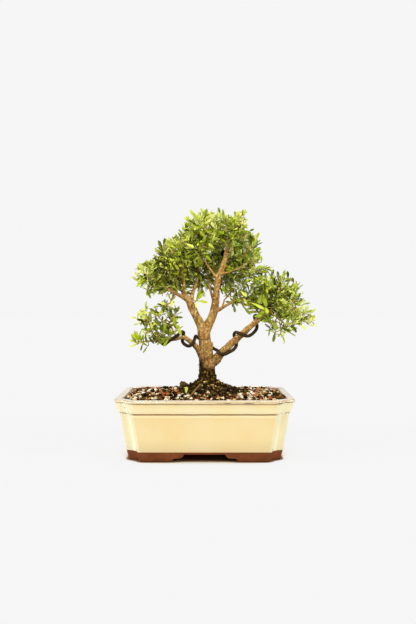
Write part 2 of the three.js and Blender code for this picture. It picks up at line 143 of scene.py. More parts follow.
def copy_of(template, matrix):
    twin = template.copy()
    twin.data = template.data.copy()
    twin.matrix_world = matrix
    bpy.context.collection.objects.link(twin)
    return twin


def upright(direction):
    """The turn that points +Z in a direction."""
    return direction.to_track_quat("Z", "Y").to_matrix().to_4x4()


def even(size):
    return Matrix.Diagonal((size, size, size, 1))


def fill_attribute(obj, name, value):
    data = obj.data.attributes[name].data
    data.foreach_set("value", [value] * len(data))


def shift_attribute(obj, name, amount):
    data = obj.data.attributes[name].data
    values = np.zeros(len(data))
    data.foreach_get("value", values)
    data.foreach_set("value", values + amount)


def tree_of(mesh):
    """The mesh as a search tree, to find its nearest point or where a ray meets it."""
    points = [vertex.co.copy() for vertex in mesh.vertices]
    return BVHTree.FromPolygons(points, [tuple(face.vertices) for face in mesh.polygons])


def displace(obj, strength, kind=None, size=0, middle=0.5, group=""):
    """Moves the surface out by a strength in millimetres, all over or by a texture with grains of a size."""
    modifier = obj.modifiers.new("displace", "DISPLACE")
    modifier.strength = strength * MM
    modifier.mid_level = middle
    modifier.vertex_group = group
    if kind is not None:
        modifier.texture = bpy.data.textures.new("relief", kind)
        modifier.texture.noise_scale = size * MM
    return modifier


def subdivide(obj, kind, levels):
    finer = obj.modifiers.new("finer", "SUBSURF")
    finer.subdivision_type = kind
    finer.levels = finer.render_levels = levels


def smooth_by_angle(obj, degrees):
    only(obj)
    bpy.ops.object.shade_smooth_by_angle(angle=math.radians(degrees))


def smooth(obj):
    only(obj)
    bpy.ops.object.shade_smooth()


def skin_through(rings, name):
    """A closed skin. A circle is laid on the first ring, extruded ring by ring and filled at both ends."""
    count = len(rings[0])
    bpy.ops.object.select_all(action="DESELECT")
    bpy.ops.mesh.primitive_circle_add(vertices=count, radius=1)
    obj = bpy.context.object
    bpy.ops.object.mode_set(mode="EDIT")
    bpy.ops.mesh.select_mode(type="VERT")
    edit = bmesh.from_edit_mesh(obj.data)
    edit.verts.ensure_lookup_table()
    # the circle's vertices in their order round it
    order = [0]
    came_from = None
    while len(order) < count:
        here = edit.verts[order[-1]]
        beside = [edge.other_vert(here).index for edge in here.link_edges]
        ahead = next(index for index in beside if index != came_from)
        came_from = order[-1]
        order.append(ahead)
    for index, point in zip(order, rings[0]):
        edit.verts[index].co = point
    bpy.ops.mesh.select_all(action="SELECT")
    bpy.ops.mesh.edge_face_add()
    bpy.ops.mesh.select_all(action="SELECT")
    for ring in rings[1:]:
        bpy.ops.mesh.extrude_edges_move()
        edit = bmesh.from_edit_mesh(obj.data)
        edit.verts.ensure_lookup_table()
        # the new vertices are the selected ones, each at the end of an edge from an old one
        order = [
            next(o.index for e in edit.verts[i].link_edges if (o := e.other_vert(edit.verts[i])).select)
            for i in order
        ]
        for index, point in zip(order, ring):
            edit.verts[index].co = point
    bmesh.update_edit_mesh(obj.data)
    bpy.ops.mesh.edge_face_add()
    bpy.ops.mesh.select_all(action="SELECT")
    bpy.ops.mesh.normals_make_consistent(inside=False)
    bpy.ops.object.mode_set(mode="OBJECT")
    obj.name = obj.data.name = name
    return obj


def tubes(paths, name, sides):
    """Round bars along paths of (place, radius), as one mesh. sides is Blender's bevel resolution."""
    curve = bpy.data.curves.new(name, "CURVE")
    curve.dimensions = "3D"
    curve.bevel_depth = 1
    curve.bevel_resolution = sides
    curve.use_fill_caps = True
    for path in paths:
        spline = curve.splines.new("POLY")
        spline.points.add(len(path) - 1)
        for point, (where, radius) in zip(spline.points, path):
            point.co = (*where, 1)
            point.radius = radius
    obj = bpy.data.objects.new(name, curve)
    bpy.context.collection.objects.link(obj)
    only(obj)
    bpy.ops.object.convert(target="MESH")
    return bpy.context.object


# Finishes


class Finish:
    """A material with short calls for its nodes."""

    def __init__(self, name):
        self.material = bpy.data.materials.new(name)
        self.material.use_nodes = True
        self.tree = self.material.node_tree
        self.shader = self.tree.nodes["Principled BSDF"]
        self.object_place = self.add("TexCoord").outputs["Object"]

    def add(self, kind, inputs=None, **settings):
        node = self.tree.nodes.new("ShaderNode" + kind)
        for key, value in settings.items():
            setattr(node, key, value)
        for key, value in (inputs or {}).items():
            self.set(node.inputs[key], value)
        return node

    def set(self, socket, value):
        if isinstance(value, bpy.types.NodeSocket):
            self.tree.links.new(value, socket)
        else:
            socket.default_value = value

    def surface(self, **values):
        for key, value in values.items():
            self.set(self.shader.inputs[key.replace("_", " ")], value)

    def stretched(self, x, y, z):
        return self.add("Mapping", {"Vector": self.object_place, "Scale": (x, y, z)}).outputs["Vector"]

    def noise(self, scale, detail=4, rough=0.55, where=None):
        inputs = {"Vector": where or self.object_place, "Scale": scale, "Detail": detail, "Roughness": rough}
        return self.add("TexNoise", inputs).outputs["Fac"]

    def cells(self, scale, feature="F1", output="Distance", where=None):
        inputs = {"Vector": where or self.object_place, "Scale": scale}
        return self.add("TexVoronoi", inputs, feature=feature).outputs[output]

    def math(self, operation, a, b=0.0, c=0.0):
        return self.add("Math", {0: a, 1: b, 2: c}, operation=operation).outputs[0]

    def plus(self, a, b):
        return self.math("ADD", a, b)

    def times(self, a, b):
        return self.math("MULTIPLY", a, b)

    def spread(self, value, low, high, to_low=0.0, to_high=1.0):
        """Maps low to high onto to_low to to_high, and holds the ends outside them."""
        inputs = {"Value": value, "From Min": low, "From Max": high, "To Min": to_low, "To Max": to_high}
        return self.add("MapRange", inputs).outputs[0]

    def ramp(self, factor, stops):
        node = self.add("ValToRGB", {"Fac": factor})
        elements = node.color_ramp.elements
        elements[0].position, elements[0].color = stops[0][0], (*stops[0][1], 1)
        elements[1].position, elements[1].color = stops[-1][0], (*stops[-1][1], 1)
        for position, colour in stops[1:-1]:
            elements.new(position).color = (*colour, 1)
        return node.outputs["Color"]

    def mix(self, factor, a, b, blend="MIX"):
        # of the Mix node's many sockets these are the ones for colours
        node = self.add("Mix", data_type="RGBA", blend_type=blend)
        for socket, value in ((0, factor), (6, a), (7, b)):
            if isinstance(value, tuple):
                value = (*value, 1)
            self.set(node.inputs[socket], value)
        return node.outputs[2]

    def tinted(self, factor, colour, tint):
        """The colour, multiplied by a tint as far as the factor says."""
        return self.mix(factor, colour, tint, "MULTIPLY")

    def axis(self, name):
        return self.add("SeparateXYZ", {"Vector": self.object_place}).outputs[name]

    def attribute(self, name):
        return self.add("Attribute", attribute_name=name).outputs["Fac"]

    def bump(self, strength, distance, height):
        inputs = {"Strength": strength, "Distance": distance * MM, "Height": height}
        return self.add("Bump", inputs).outputs["Normal"]


CREAM = (0.645, 0.508, 0.255)
PALE_CREAM = (0.70, 0.61, 0.35)
# the painted highlight down the coves
COVE_HIGHLIGHT_CREAM = (0.70, 0.68, 0.46)
LIP_BEIGE = (0.45, 0.345, 0.21)
SLATE = (0.06, 0.06, 0.085)
STREAK_BROWN = (0.15, 0.06, 0.035)
GROOVE_BROWN = (0.27, 0.04, 0.008)
RAMP_TOP = 72  # the glaze's colours are laid out by height, from the soles to here
# Glaze colours by height, on the outer face up to the top of the rim, and on the inner face below it. The
# pale stop at 52.4 mm under the groove, and the pale grey stops over the rim's top, from 70.6 mm outside and
# from 69.5 mm inside, are painted highlights
OUTSIDE_BANDS = [
    (10.5, (0.50, 0.33, 0.15)), (12.2, (0.55, 0.43, 0.225)), (17, (0.575, 0.45, 0.22)),
    (26, (0.635, 0.50, 0.245)), (50, CREAM), (52.4, (0.74, 0.68, 0.38)), (53.6, (0.70, 0.53, 0.24)),
    (54.1, GROOVE_BROWN), (54.6, GROOVE_BROWN), (55.3, PALE_CREAM), (61, PALE_CREAM), (65.4, CREAM),
    (67.2, CREAM), (68.0, (0.50, 0.41, 0.255)), (68.8, LIP_BEIGE), (69.7, (0.38, 0.28, 0.165)),
    (70.6, (0.48, 0.41, 0.30)), (71.4, (0.66, 0.62, 0.50)),
]
# below the rim's inner edge the inner face is darker than the outer and darkest low down: painted shade
# inside the pot
INSIDE_BANDS = [
    (57.6, (0.42, 0.33, 0.18)), (66.5, (0.46, 0.38, 0.24)), (68.2, (0.46, 0.38, 0.24)),
    (68.6, GROOVE_BROWN), (69.1, GROOVE_BROWN), (69.5, (0.68, 0.61, 0.49)),
]


def glaze_finish():
    f = Finish("cream_glaze")
    wander = f.spread(f.noise(55, 3), 0.3, 0.7, -0.3 * MM, 0.3 * MM)
    level = f.spread(f.plus(f.axis("Z"), wander), 0, RAMP_TOP * MM)

    def banded(bands):
        return f.ramp(level, [(z / RAMP_TOP, colour) for z, colour in bands])

    def stripe(low, low_full, high_full, high):
        """1 between the two full heights on the outer face, and 0 below low, above high and inside."""
        rising = f.spread(level, low / RAMP_TOP, low_full / RAMP_TOP)
        falling = f.spread(level, high / RAMP_TOP, high_full / RAMP_TOP)
        return f.times(f.times(rising, falling), f.attribute("outer_face"))

    # a painted highlight in pale cream runs down the middle of each cove, below the lip
    cove_highlight = f.times(f.attribute("cove"), f.spread(level, 69 / RAMP_TOP, 67.5 / RAMP_TOP))
    outside = f.mix(cove_highlight, banded(OUTSIDE_BANDS), COVE_HIGHLIGHT_CREAM)
    bands = f.mix(f.attribute("outer_face"), banded(INSIDE_BANDS), outside)
    # a broken dark line runs under the lip, and above it the body shows in streaks where the glaze ran thin
    runs = f.stretched(1, 1, 0.2)
    gaps = f.spread(f.noise(70, 4, 0.65, where=runs), 0.38, 0.56, 0.4, 1.0)
    bands = f.mix(f.times(stripe(66.2, 66.5, 66.8, 67.1), gaps), bands, SLATE)
    thin = f.spread(f.noise(32, 4, 0.6, where=runs), 0.55, 0.64, 0, 0.85)
    bands = f.mix(f.times(stripe(66.5, 66.9, 67.8, 68.5), thin), bands, STREAK_BROWN)
    clouded = f.tinted(f.spread(f.noise(28, 3), 0.35, 0.7), bands, (0.99, 0.94, 0.82))
    # a small dark speck lies in the middle of a few cells
    draw = f.add("SeparateColor", {"Color": f.cells(95, output="Color")}).outputs[0]
    speck = f.times(f.math("GREATER_THAN", draw, 0.93), f.math("LESS_THAN", f.cells(95), 0.07))
    f.surface(Base_Color=f.mix(speck, clouded, (0.16, 0.07, 0.03)), Coat_Weight=0.4, Coat_Roughness=0.08)
    f.surface(Roughness=f.spread(f.noise(120, 2), 0.3, 0.7, 0.14, 0.24))
    f.surface(Normal=f.bump(0.12, 0.3, f.noise(330, 2)))
    return f.material


def bare_clay_finish():
    f = Finish("bare_red_clay")
    grain = f.noise(900, 5, 0.7)
    body = f.ramp(f.noise(70, 4), [(0.3, (0.115, 0.029, 0.006)), (0.7, (0.20, 0.055, 0.011))])
    f.surface(Base_Color=f.mix(f.spread(grain, 0.3, 0.75), f.tinted(0.5, body, (0.5, 0.4, 0.35)), body))
    f.surface(Roughness=f.spread(grain, 0.2, 0.8, 0.75, 0.95), Normal=f.bump(0.4, 0.25, grain))
    f.surface(Specular_IOR_Level=0.2)
    return f.material


OLD_BARK = [
    (0.28, (0.17, 0.08, 0.016)), (0.45, (0.36, 0.195, 0.045)), (0.6, (0.55, 0.335, 0.10)),
    (0.8, (0.76, 0.54, 0.22)),
]
YOUNG_BARK = [(0.28, (0.22, 0.10, 0.02)), (0.5, (0.42, 0.24, 0.06)), (0.8, (0.62, 0.42, 0.14))]
TRUNK_MOSS = [
    (0.46, (0.007, 0.004, 0.001)), (0.54, (0.026, 0.015, 0.003)), (0.6, (0.15, 0.095, 0.014)),
    (0.68, (0.52, 0.31, 0.07)),
]


def bark_finish():
    f = Finish("boxwood_bark")
    girth, height, aside = f.attribute("girth"), f.axis("Z"), f.axis("X")
    along = f.stretched(1, 1, 0.42)
    plates = f.cells(300, "DISTANCE_TO_EDGE", where=along)
    fibre = f.noise(520, 6, 0.7, where=along)
    crumble = f.noise(430, 5, 0.75)
    patch = f.noise(85, 4)
    old = f.tinted(f.spread(patch, 0.42, 0.62), f.ramp(fibre, OLD_BARK), (0.80, 0.66, 0.36))
    flakes = f.times(f.spread(crumble, 0.54, 0.64), 0.8)
    old = f.mix(flakes, old, (0.84, 0.60, 0.30))
    pits = f.times(f.spread(crumble, 0.47, 0.39), 0.9)
    cracks = f.times(f.spread(plates, 0.09, 0.0), f.spread(patch, 0.32, 0.55))
    old = f.mix(f.math("MAXIMUM", pits, cracks), old, (0.11, 0.052, 0.016))
    wood = f.mix(f.spread(girth, 0.08, 0.22), f.ramp(fibre, YOUNG_BARK), old)
    # lighter towards the crown, which is painted light on the upper wood, darker and blotched towards the
    # foot, and green with algae in places
    wood = f.tinted(f.spread(height, 190 * MM, 240 * MM, 0, 0.8), wood, (1.45, 1.4, 1.2))
    wood = f.tinted(f.spread(height, 140 * MM, 112 * MM, 0, 1), wood, (0.74, 0.70, 0.66))
    blotch = f.times(f.spread(f.noise(260, 4, 0.7), 0.52, 0.6), f.spread(height, 135 * MM, 115 * MM, 0, 0.6))
    wood = f.tinted(blotch, wood, (0.42, 0.38, 0.30))
    wood = f.tinted(f.times(f.spread(f.noise(48, 3), 0.56, 0.68), 0.3), wood, (0.62, 0.80, 0.30))
    # dark moss covers the roots and the trunk's foot, thins out upwards, and has ochre flecks on its right
    climb = f.math("MULTIPLY_ADD", aside, 0.7, height)
    climb = f.plus(climb, f.spread(f.noise(130, 6, 0.75), 0.3, 0.7, -10 * MM, 10 * MM))
    moss_share = f.times(f.spread(climb, 91 * MM, 102 * MM, 0.97, 0), f.spread(girth, 0.08, 0.2))
    flecks = f.plus(f.noise(330, 5, 0.75), f.spread(aside, -4 * MM, 8 * MM, -0.01, 0.17))
    f.surface(Base_Color=f.mix(moss_share, wood, f.ramp(flecks, TRUNK_MOSS)))
    relief = f.plus(f.times(fibre, 0.5), f.times(crumble, 0.9))
    f.surface(Roughness=f.spread(fibre, 0.2, 0.8, 0.7, 0.92), Normal=f.bump(0.6, 0.6, relief))
    f.surface(Specular_IOR_Level=f.spread(moss_share, 0, 1, 0.2, 0.0))
    return f.material


def wire_finish():
    f = Finish("brown_anodised_wire")
    rub = f.noise(260, 4)
    browns = [(0.3, (0.016, 0.009, 0.002)), (0.6, (0.040, 0.025, 0.007)), (0.8, (0.12, 0.078, 0.024))]
    f.surface(Base_Color=f.ramp(rub, browns), Metallic=0.3, Specular_IOR_Level=0.12)
    f.surface(Roughness=f.spread(rub, 0.3, 0.7, 0.45, 0.62), Normal=f.bump(0.08, 0.1, f.noise(1500, 2)))
    return f.material


def medium_finish():
    f = Finish("fine_dark_medium")
    crumbs = f.noise(800, 6, 0.7)
    browns = [(0.3, (0.012, 0.008, 0.004)), (0.55, (0.045, 0.028, 0.010)), (0.72, (0.22, 0.13, 0.04))]
    f.surface(Base_Color=f.ramp(crumbs, browns), Specular_IOR_Level=0.03)
    f.surface(Roughness=f.spread(crumbs, 0.2, 0.8, 0.85, 1), Normal=f.bump(0.8, 0.6, crumbs))
    return f.material


def grain_finish(name, stops, scale=420):
    """Granules, tufts and buds: each one has its own shade, and pores."""
    f = Finish(name)
    pores = f.noise(scale * 3.2, 5, 0.7)
    body = f.ramp(f.plus(f.times(f.attribute("shade"), 0.75), f.times(f.noise(scale), 0.25)), stops)
    in_pores = f.tinted(1.0, body, (0.45, 0.38, 0.32))
    f.surface(Base_Color=f.mix(f.spread(pores, 0.32, 0.6), in_pores, body), Specular_IOR_Level=0.04)
    f.surface(Roughness=f.spread(pores, 0.3, 0.7, 0.8, 0.95), Normal=f.bump(0.6, 0.35, pores))
    return f.material


# Greens by tone: the near-black end is painted shade deep in the foliage, and the tone also carries painted
# light
LEAF_GREENS = [
    (0.0, (0.016, 0.015, 0.001)), (0.2, (0.066, 0.068, 0.002)), (0.4, (0.215, 0.24, 0.004)),
    (0.6, (0.45, 0.51, 0.010)), (0.8, (0.68, 0.73, 0.075)), (1.0, (0.78, 0.80, 0.24)),
]


def leaf_finish():
    """Green by each leaf's tone, which holds painted light and shade as well as the leaf's own green, bluer
    by its coolness, paler on its underside and along its midrib.
    """
    f = Finish("boxwood_leaf")
    tone = f.attribute("tone")
    uv = f.add("UVMap", uv_map="blade").outputs["UV"]
    on_blade = f.add("SeparateXYZ", {"Vector": uv}).outputs
    mottled = f.plus(tone, f.spread(f.noise(330, 4), 0.3, 0.7, -0.05, 0.05))
    mottled = f.plus(mottled, f.spread(on_blade["Y"], 0.0, 1.0, -0.03, 0.04))
    green = f.ramp(mottled, LEAF_GREENS)
    # leaves are a purer green on the right, apart from the palest
    right = f.spread(f.axis("X"), -35 * MM, 20 * MM, 0.1, 0.6)
    lush = f.times(f.plus(right, f.spread(f.noise(24, 3), 0.4, 0.6, -0.1, 0.4)), f.spread(tone, 0.85, 0.6))
    green = f.tinted(lush, green, (0.84, 1.0, 0.85))
    green = f.tinted(f.attribute("cool"), green, (0.40, 0.62, 4.0))
    green = f.mix(f.times(f.attribute("under"), 0.42), green, (0.62, 0.62, 0.20))
    from_midrib = f.math("ABSOLUTE", f.math("SUBTRACT", on_blade["X"], 0.5))
    rib = f.spread(from_midrib, 0.02, 0.07, 0.45, 0)
    green = f.mix(f.times(rib, 0.5), green, (0.72, 0.72, 0.24))
    waves = {"Vector": uv, "Scale": 3.2, "Distortion": 1.2, "Detail": 1}
    veins = f.add("TexWave", waves, wave_type="BANDS", bands_direction="Y").outputs["Fac"]
    relief = f.plus(f.times(rib, -0.8), f.times(veins, 0.25))
    f.surface(Base_Color=green, Normal=f.bump(0.25, 0.15, relief))
    f.surface(Roughness=f.spread(f.noise(600, 3), 0.3, 0.7, 0.34, 0.5))
    f.surface(Specular_IOR_Level=f.spread(tone, 0.15, 0.7, 0.2, 0.08))
    through = f.add("BsdfTranslucent", {"Color": green})
    both = f.add("MixShader", {0: 0.3, 1: f.shader.outputs[0], 2: through.outputs[0]})
    f.tree.links.new(both.outputs[0], f.tree.nodes["Material Output"].inputs["Surface"])
    return f.material


def plain_finish(name, dark, light, scale, rough, relief, metal=0.0, gloss=0.5):
    """A worn one-colour finish with fine grain: plastic, bare metal, the chip and the twigs."""
    f = Finish(name)
    grain = f.noise(scale, 5, 0.65)
    f.surface(Base_Color=f.ramp(grain, [(0.3, dark), (0.7, light)]))
    f.surface(Metallic=metal, Specular_IOR_Level=gloss)
    f.surface(Roughness=f.spread(grain, 0.3, 0.7, rough - 0.08, rough + 0.08))
    f.surface(Normal=f.bump(0.4, relief, grain))
    return f.material


# The pot: one stoneware body, whose glaze stops above the bare feet

RIM_HALF_LENGTH = 101.5
RIM_HALF_WIDTH = 76
GLAZE_LINE = 11.2
SHOULDER_TURN = math.radians(80)


def pot_level(inset, z, cut, shoulder):
    """One level of the pot: a rectangle whose corners are coved inwards between two round shoulders.

    inset is how far in from the rim it lies, cut what the cove takes off each side, and shoulder a radius.
    """
    half_length, half_width = RIM_HALF_LENGTH - inset, RIM_HALF_WIDTH - inset
    sin, cos = math.sin(SHOULDER_TURN), math.cos(SHOULDER_TURN)
    cove = (cut - shoulder * (1 - cos + sin)) / (sin - cos)
    cove_x = half_length - shoulder + (shoulder + cove) * cos
    cove_y = half_width - cut + (shoulder + cove) * sin
    corner = []
    for x, y, radius, start, end, steps in (
        (half_length - shoulder, half_width - cut, shoulder, 0, SHOULDER_TURN, 7),
        (cove_x, cove_y, cove, math.pi + SHOULDER_TURN, 1.5 * math.pi - SHOULDER_TURN, 12),
        (half_length - cut, half_width - shoulder, shoulder, math.pi / 2 - SHOULDER_TURN, math.pi / 2, 7),
    ):
        for step in range(1 if corner else 0, steps + 1):
            angle = start + (end - start) * step / steps
            corner.append((x + radius * math.cos(angle), y + radius * math.sin(angle)))
    # the straight sides get points too, more of them along the front and back
    first, last = corner[0], corner[-1]
    corner = [(first[0], first[1] * share / 5) for share in range(5)] + corner
    corner += [(last[0] * (1 - share / 7), last[1]) for share in range(1, 8)]
    outline = corner + [(-x, y) for x, y in corner[-2::-1]]
    outline += [(-x, -y) for x, y in corner[1:]] + [(x, -y) for x, y in corner[-2:0:-1]]
    return [place(x, y, z) for x, y in outline]


# From the hollow under the floor, round the feet, up the outside, over the rim and down to the floor:
# inset, height, cut and shoulder
POT_PROFILE = [
    (29.8, 10, 12, 2), (29.8, 0.8, 12, 2), (29.2, 0.1, 12.2, 2), (28.4, 0, 12.4, 2), (17.2, 0, 15.4, 2.2),
    (16.3, 0.2, 15.7, 2.4), (15.6, 0.8, 16, 2.7), (15.2, 1.6, 16.3, 3), (14.2, 6, 16.6, 3.1),
    (13.15, GLAZE_LINE - 0.2, 17, 3.2), (13.1, GLAZE_LINE, 17, 3.2), (12.75, GLAZE_LINE + 0.15, 17, 3.2),
    (12.6, GLAZE_LINE + 0.7, 17, 3.2), (11.9, 17, 17, 3.2), (10.6, 26, 17, 3.2), (9.1, 36, 17, 3.2),
    (7.7, 46, 17, 3.6), (6.6, 52.2, 17, 3.6), (6.3, 53.3, 17, 3.6), (6.5, 53.7, 17, 3.6),
    (6.4, 54, 17.2, 3.7), (5.6, 54.2, 17.8, 4.1), (4.8, 54.6, 18.3, 4.6), (4.3, 55.4, 18.8, 5.2),
    (3.8, 57.6, 19.4, 5.8), (2.9, 60.5, 20.2, 6.6), (2.2, 63, 21, 7.4), (1.6, 65, 21.5, 8),
    (1.75, 65.6, 21.5, 8), (1.6, 66, 21.6, 8.1), (0.8, 66.2, 22.3, 8.8), (0.25, 66.6, 22.8, 9.2),
    (0, 67.3, 23, 9.4), (0, 68.2, 23, 9.4), (0.3, 69, 22.8, 9.2), (0.9, 69.6, 22.2, 8.6),
    (1.8, 69.95, 21.4, 7.8), (3.2, 70, 20, 6.4), (6.2, 70, 16.8, 3.4), (7.4, 69.9, 15.6, 2.2),
    (8.2, 69.5, 14.9, 1.9), (8.7, 68.8, 14.5, 1.7), (9.1, 67, 14.3, 1.6), (9.8, 64, 14, 1.4),
    (13.5, 44, 13.2, 1.4), (17.6, 21, 12.5, 1.4), (19, 18.4, 12, 1.3), (21.5, 17, 11.5, 1.2),
]
INNER_LEVELS = 12  # the last levels, from the rim's inner edge down

# Half widths of the opening between two feet, at its top, its ledge and the sole
FRONT_ARCH = (23, 35, 42.4)
SIDE_ARCH = (11, 20, 26)
ARCH_TOP = 9
ARCH_LEDGE = 4.4
DRAIN_HOLE_RADIUS = 8
DRAIN_HOLE_OFFSET = 46


def arch_bar(widths, along_x, half_length):
    """The cloud-shaped bar that is cut out between two feet."""
    top, ledge, sole = widths
    legs = [
        ((sole, -1), (sole, -1), (sole, 0)),
        ((sole, 0), (ledge + 2, 0.6), (ledge, ARCH_LEDGE - 0.5)),
        ((ledge, ARCH_LEDGE - 0.5), (top + 7, ARCH_LEDGE - 0.2), (top + 4.5, ARCH_LEDGE)),
        ((top + 4.5, ARCH_LEDGE), (top + 1.2, ARCH_LEDGE + 0.6), (top, ARCH_TOP)),
    ]
    half = [legs[0][0]]
    for start, through, end in legs:
        for step in range(1, 9):
            t = step / 8
            point = tuple(
                (1 - t) ** 2 * a + 2 * t * (1 - t) * b + t * t * c for a, b, c in zip(start, through, end)
            )
            if math.dist(point, half[-1]) > 0.05:
                half.append(point)
    profile = half + [(-x, z) for x, z in half[::-1]]
    if along_x:
        ends = [[place(reach, x, z) for x, z in profile] for reach in (-half_length, half_length)]
    else:
        ends = [[place(x, reach, z) for x, z in profile] for reach in (-half_length, half_length)]
    return skin_through(ends, "arch_bar")


def cut_away(obj, cutters):
    for cutter in cutters:
        modifier = obj.modifiers.new("cut", "BOOLEAN")
        modifier.operation = "DIFFERENCE"
        modifier.solver = "EXACT"
        modifier.object = cutter
    apply_all(obj)
    remove(*cutters)


def half_above(obj, level, above):
    """Keeps the part of a closed body above or below a level, and closes it there."""
    edit_whole(obj)
    centre, upwards = (0, 0, level), (0, 0, 1)
    bpy.ops.mesh.bisect(
        plane_co=centre, plane_no=upwards, use_fill=True, clear_inner=above, clear_outer=not above
    )
    bpy.ops.object.mode_set(mode="OBJECT")


def mark_glaze(body):
    """Marks the outer face, and how far each place lies in a cove, where a painted highlight lies on the
    glaze.
    """
    vertices = body.data.vertices
    count = len(vertices) // len(POT_PROFILE)
    first_inner = (len(POT_PROFILE) - INNER_LEVELS) * count
    outer = body.data.attributes.new("outer_face", "FLOAT", "POINT")
    outer.data.foreach_set("value", [1.0 if i < first_inner else 0.0 for i in range(len(vertices))])
    cove = body.data.attributes.new("cove", "FLOAT", "POINT")
    for vertex, value in zip(vertices, cove.data):
        inset, _, cut, _ = POT_PROFILE[vertex.index // count]
        past_x = abs(vertex.co.x - POT_MIDDLE_X) / MM - (RIM_HALF_LENGTH - inset - cut)
        past_y = abs(vertex.co.y) / MM - (RIM_HALF_WIDTH - inset - cut)
        if min(past_x, past_y) > 0.4:
            # the painted highlight's strength: 1 along the cove's middle, down to 0.45 beside it
            value.value = min(max(1.6 - 2.5 * abs(past_x - past_y + 0.22 * cut) / cut, 0.45), 1)


def make_pot():
    body = skin_through([pot_level(*level) for level in POT_PROFILE], "pot_body")
    mark_glaze(body)
    # the bars reach past the pot's sides, and the drills through its floor
    cutters = [arch_bar(FRONT_ARCH, False, 90), arch_bar(SIDE_ARCH, True, 115)]
    for x in (-DRAIN_HOLE_OFFSET, DRAIN_HOLE_OFFSET):
        middle = place(x, 0, 15)
        bpy.ops.mesh.primitive_cylinder_add(
            vertices=40, radius=DRAIN_HOLE_RADIUS * MM, depth=30 * MM, location=middle
        )
        cutters.append(bpy.context.object)
    cut_away(body, cutters)
    feet = copy_of(body, Matrix.Identity(4))
    half_above(body, GLAZE_LINE * MM, True)
    half_above(feet, GLAZE_LINE * MM, False)
    for part in (body, feet):
        smooth_by_angle(part, 38)
    hand_in(body, "glazed_pot", glaze_finish(), ["pot"])
    hand_in(feet, "pot_feet", bare_clay_finish(), ["pot"])


# Trunk, roots and branches: the CAD solid is remeshed fine, and its bark is raised

BARK_VOXEL = 0.85
VOXEL_LOSS = 0.45  # softening takes this much off the surface, and it is put back
THICK_LIMB = 24  # a limb this thick or thicker has a girth of 1
TWIG_NARROWING = -0.5  # takes back what the voxels add to the slender wood
WAIST_NARROWING = -1.25
# Layers of bark relief: texture, strength, grain size, and the texture's level that stays in place
BARK_LAYERS = [("STUCCI", 2.2, 7.5, 0.5), ("CLOUDS", 1.5, 3.4, 0.5), ("VORONOI", 0.9, 4.2, 0.35)]


def fine_wood():
    """A fine mesh of the CAD solid, softened a little."""
    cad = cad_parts["trunk_and_branches"]
    wood = bpy.data.objects.new("wood", cad.data.copy())
    bpy.context.collection.objects.link(wood)
    edit_whole(wood)
    bpy.ops.mesh.remove_doubles(threshold=0.002 * MM)
    bpy.ops.object.mode_set(mode="OBJECT")
    remesh = wood.modifiers.new("remesh", "REMESH")
    remesh.mode = "VOXEL"
    remesh.voxel_size = BARK_VOXEL * MM
    soften = wood.modifiers.new("soften", "SMOOTH")
    soften.factor = 0.5
    soften.iterations = 5
    displace(wood, VOXEL_LOSS, middle=0)
    apply_all(wood)
    return wood


def girth_of(mesh):
    """How thick the limb is under each vertex, as a share of a thick limb, evened out between neighbours."""
    tree = tree_of(mesh)
    girth = np.zeros(len(mesh.vertices))
    for vertex in mesh.vertices:
        start = vertex.co - vertex.normal * 0.05 * MM
        thickness = tree.ray_cast(start, -vertex.normal, 40 * MM)[3] or 2 * MM
        girth[vertex.index] = min(thickness / (THICK_LIMB * MM), 1)
    edges = np.zeros(2 * len(mesh.edges), dtype=np.int32)
    mesh.edges.foreach_get("vertices", edges)
    a, b = edges[::2], edges[1::2]
    neighbours = np.bincount(edges, minlength=len(girth)).astype(float)
    for _ in range(12):
        total = np.bincount(a, girth[b], len(girth)) + np.bincount(b, girth[a], len(girth))
        girth = 0.4 * girth + 0.6 * total / neighbours
    return girth


def weigh(obj, name, share, levels):
    """A vertex group, with each vertex's share rounded to one of the levels."""
    group = obj.vertex_groups.new(name=name)
    steps = np.clip(np.round(share * levels), 0, levels)
    for level in range(1, levels + 1):
        group.add(np.nonzero(steps == level)[0].tolist(), level / levels, "REPLACE")


def make_wood():
    wood = fine_wood()
    girth = girth_of(wood.data)
    wood.data.attributes.new("girth", "FLOAT", "POINT").data.foreach_set("value", girth)
    weigh(wood, "slender", (0.24 - girth) / 0.12, 10)
    # the trunk stands straight on its roots, so it is narrowed just above them
    points = np.zeros(3 * len(girth))
    wood.data.vertices.foreach_get("co", points)
    height = points[2::3] / MM
    above_roots = np.clip((height - 83) / 5, 0, 1) * np.clip((106 - height) / 10, 0, 1)
    weigh(wood, "waist", above_roots * np.clip((girth - 0.3) / 0.1, 0, 1), 10)
    weigh(wood, "relief", np.maximum(girth * 1.4, 0.05), 20)
    displace(wood, TWIG_NARROWING, middle=0, group="slender")
    displace(wood, WAIST_NARROWING, middle=0, group="waist")
    stretch = bpy.data.objects.new("bark_stretch", None)
    bpy.context.collection.objects.link(stretch)
    stretch.scale = (1, 1, 2.4)
    for kind, strength, size, middle in BARK_LAYERS:
        layer = displace(wood, strength, kind, size, middle, "relief")
        layer.texture_coords = "OBJECT"
        layer.texture_coords_object = stretch
    apply_all(wood)
    remove(stretch)
    wood.vertex_groups.clear()
    smooth(wood)
    return hand_in(wood, "trunk_roots_branches", bark_finish(), ["trunk_and_branches"])


# The training wire

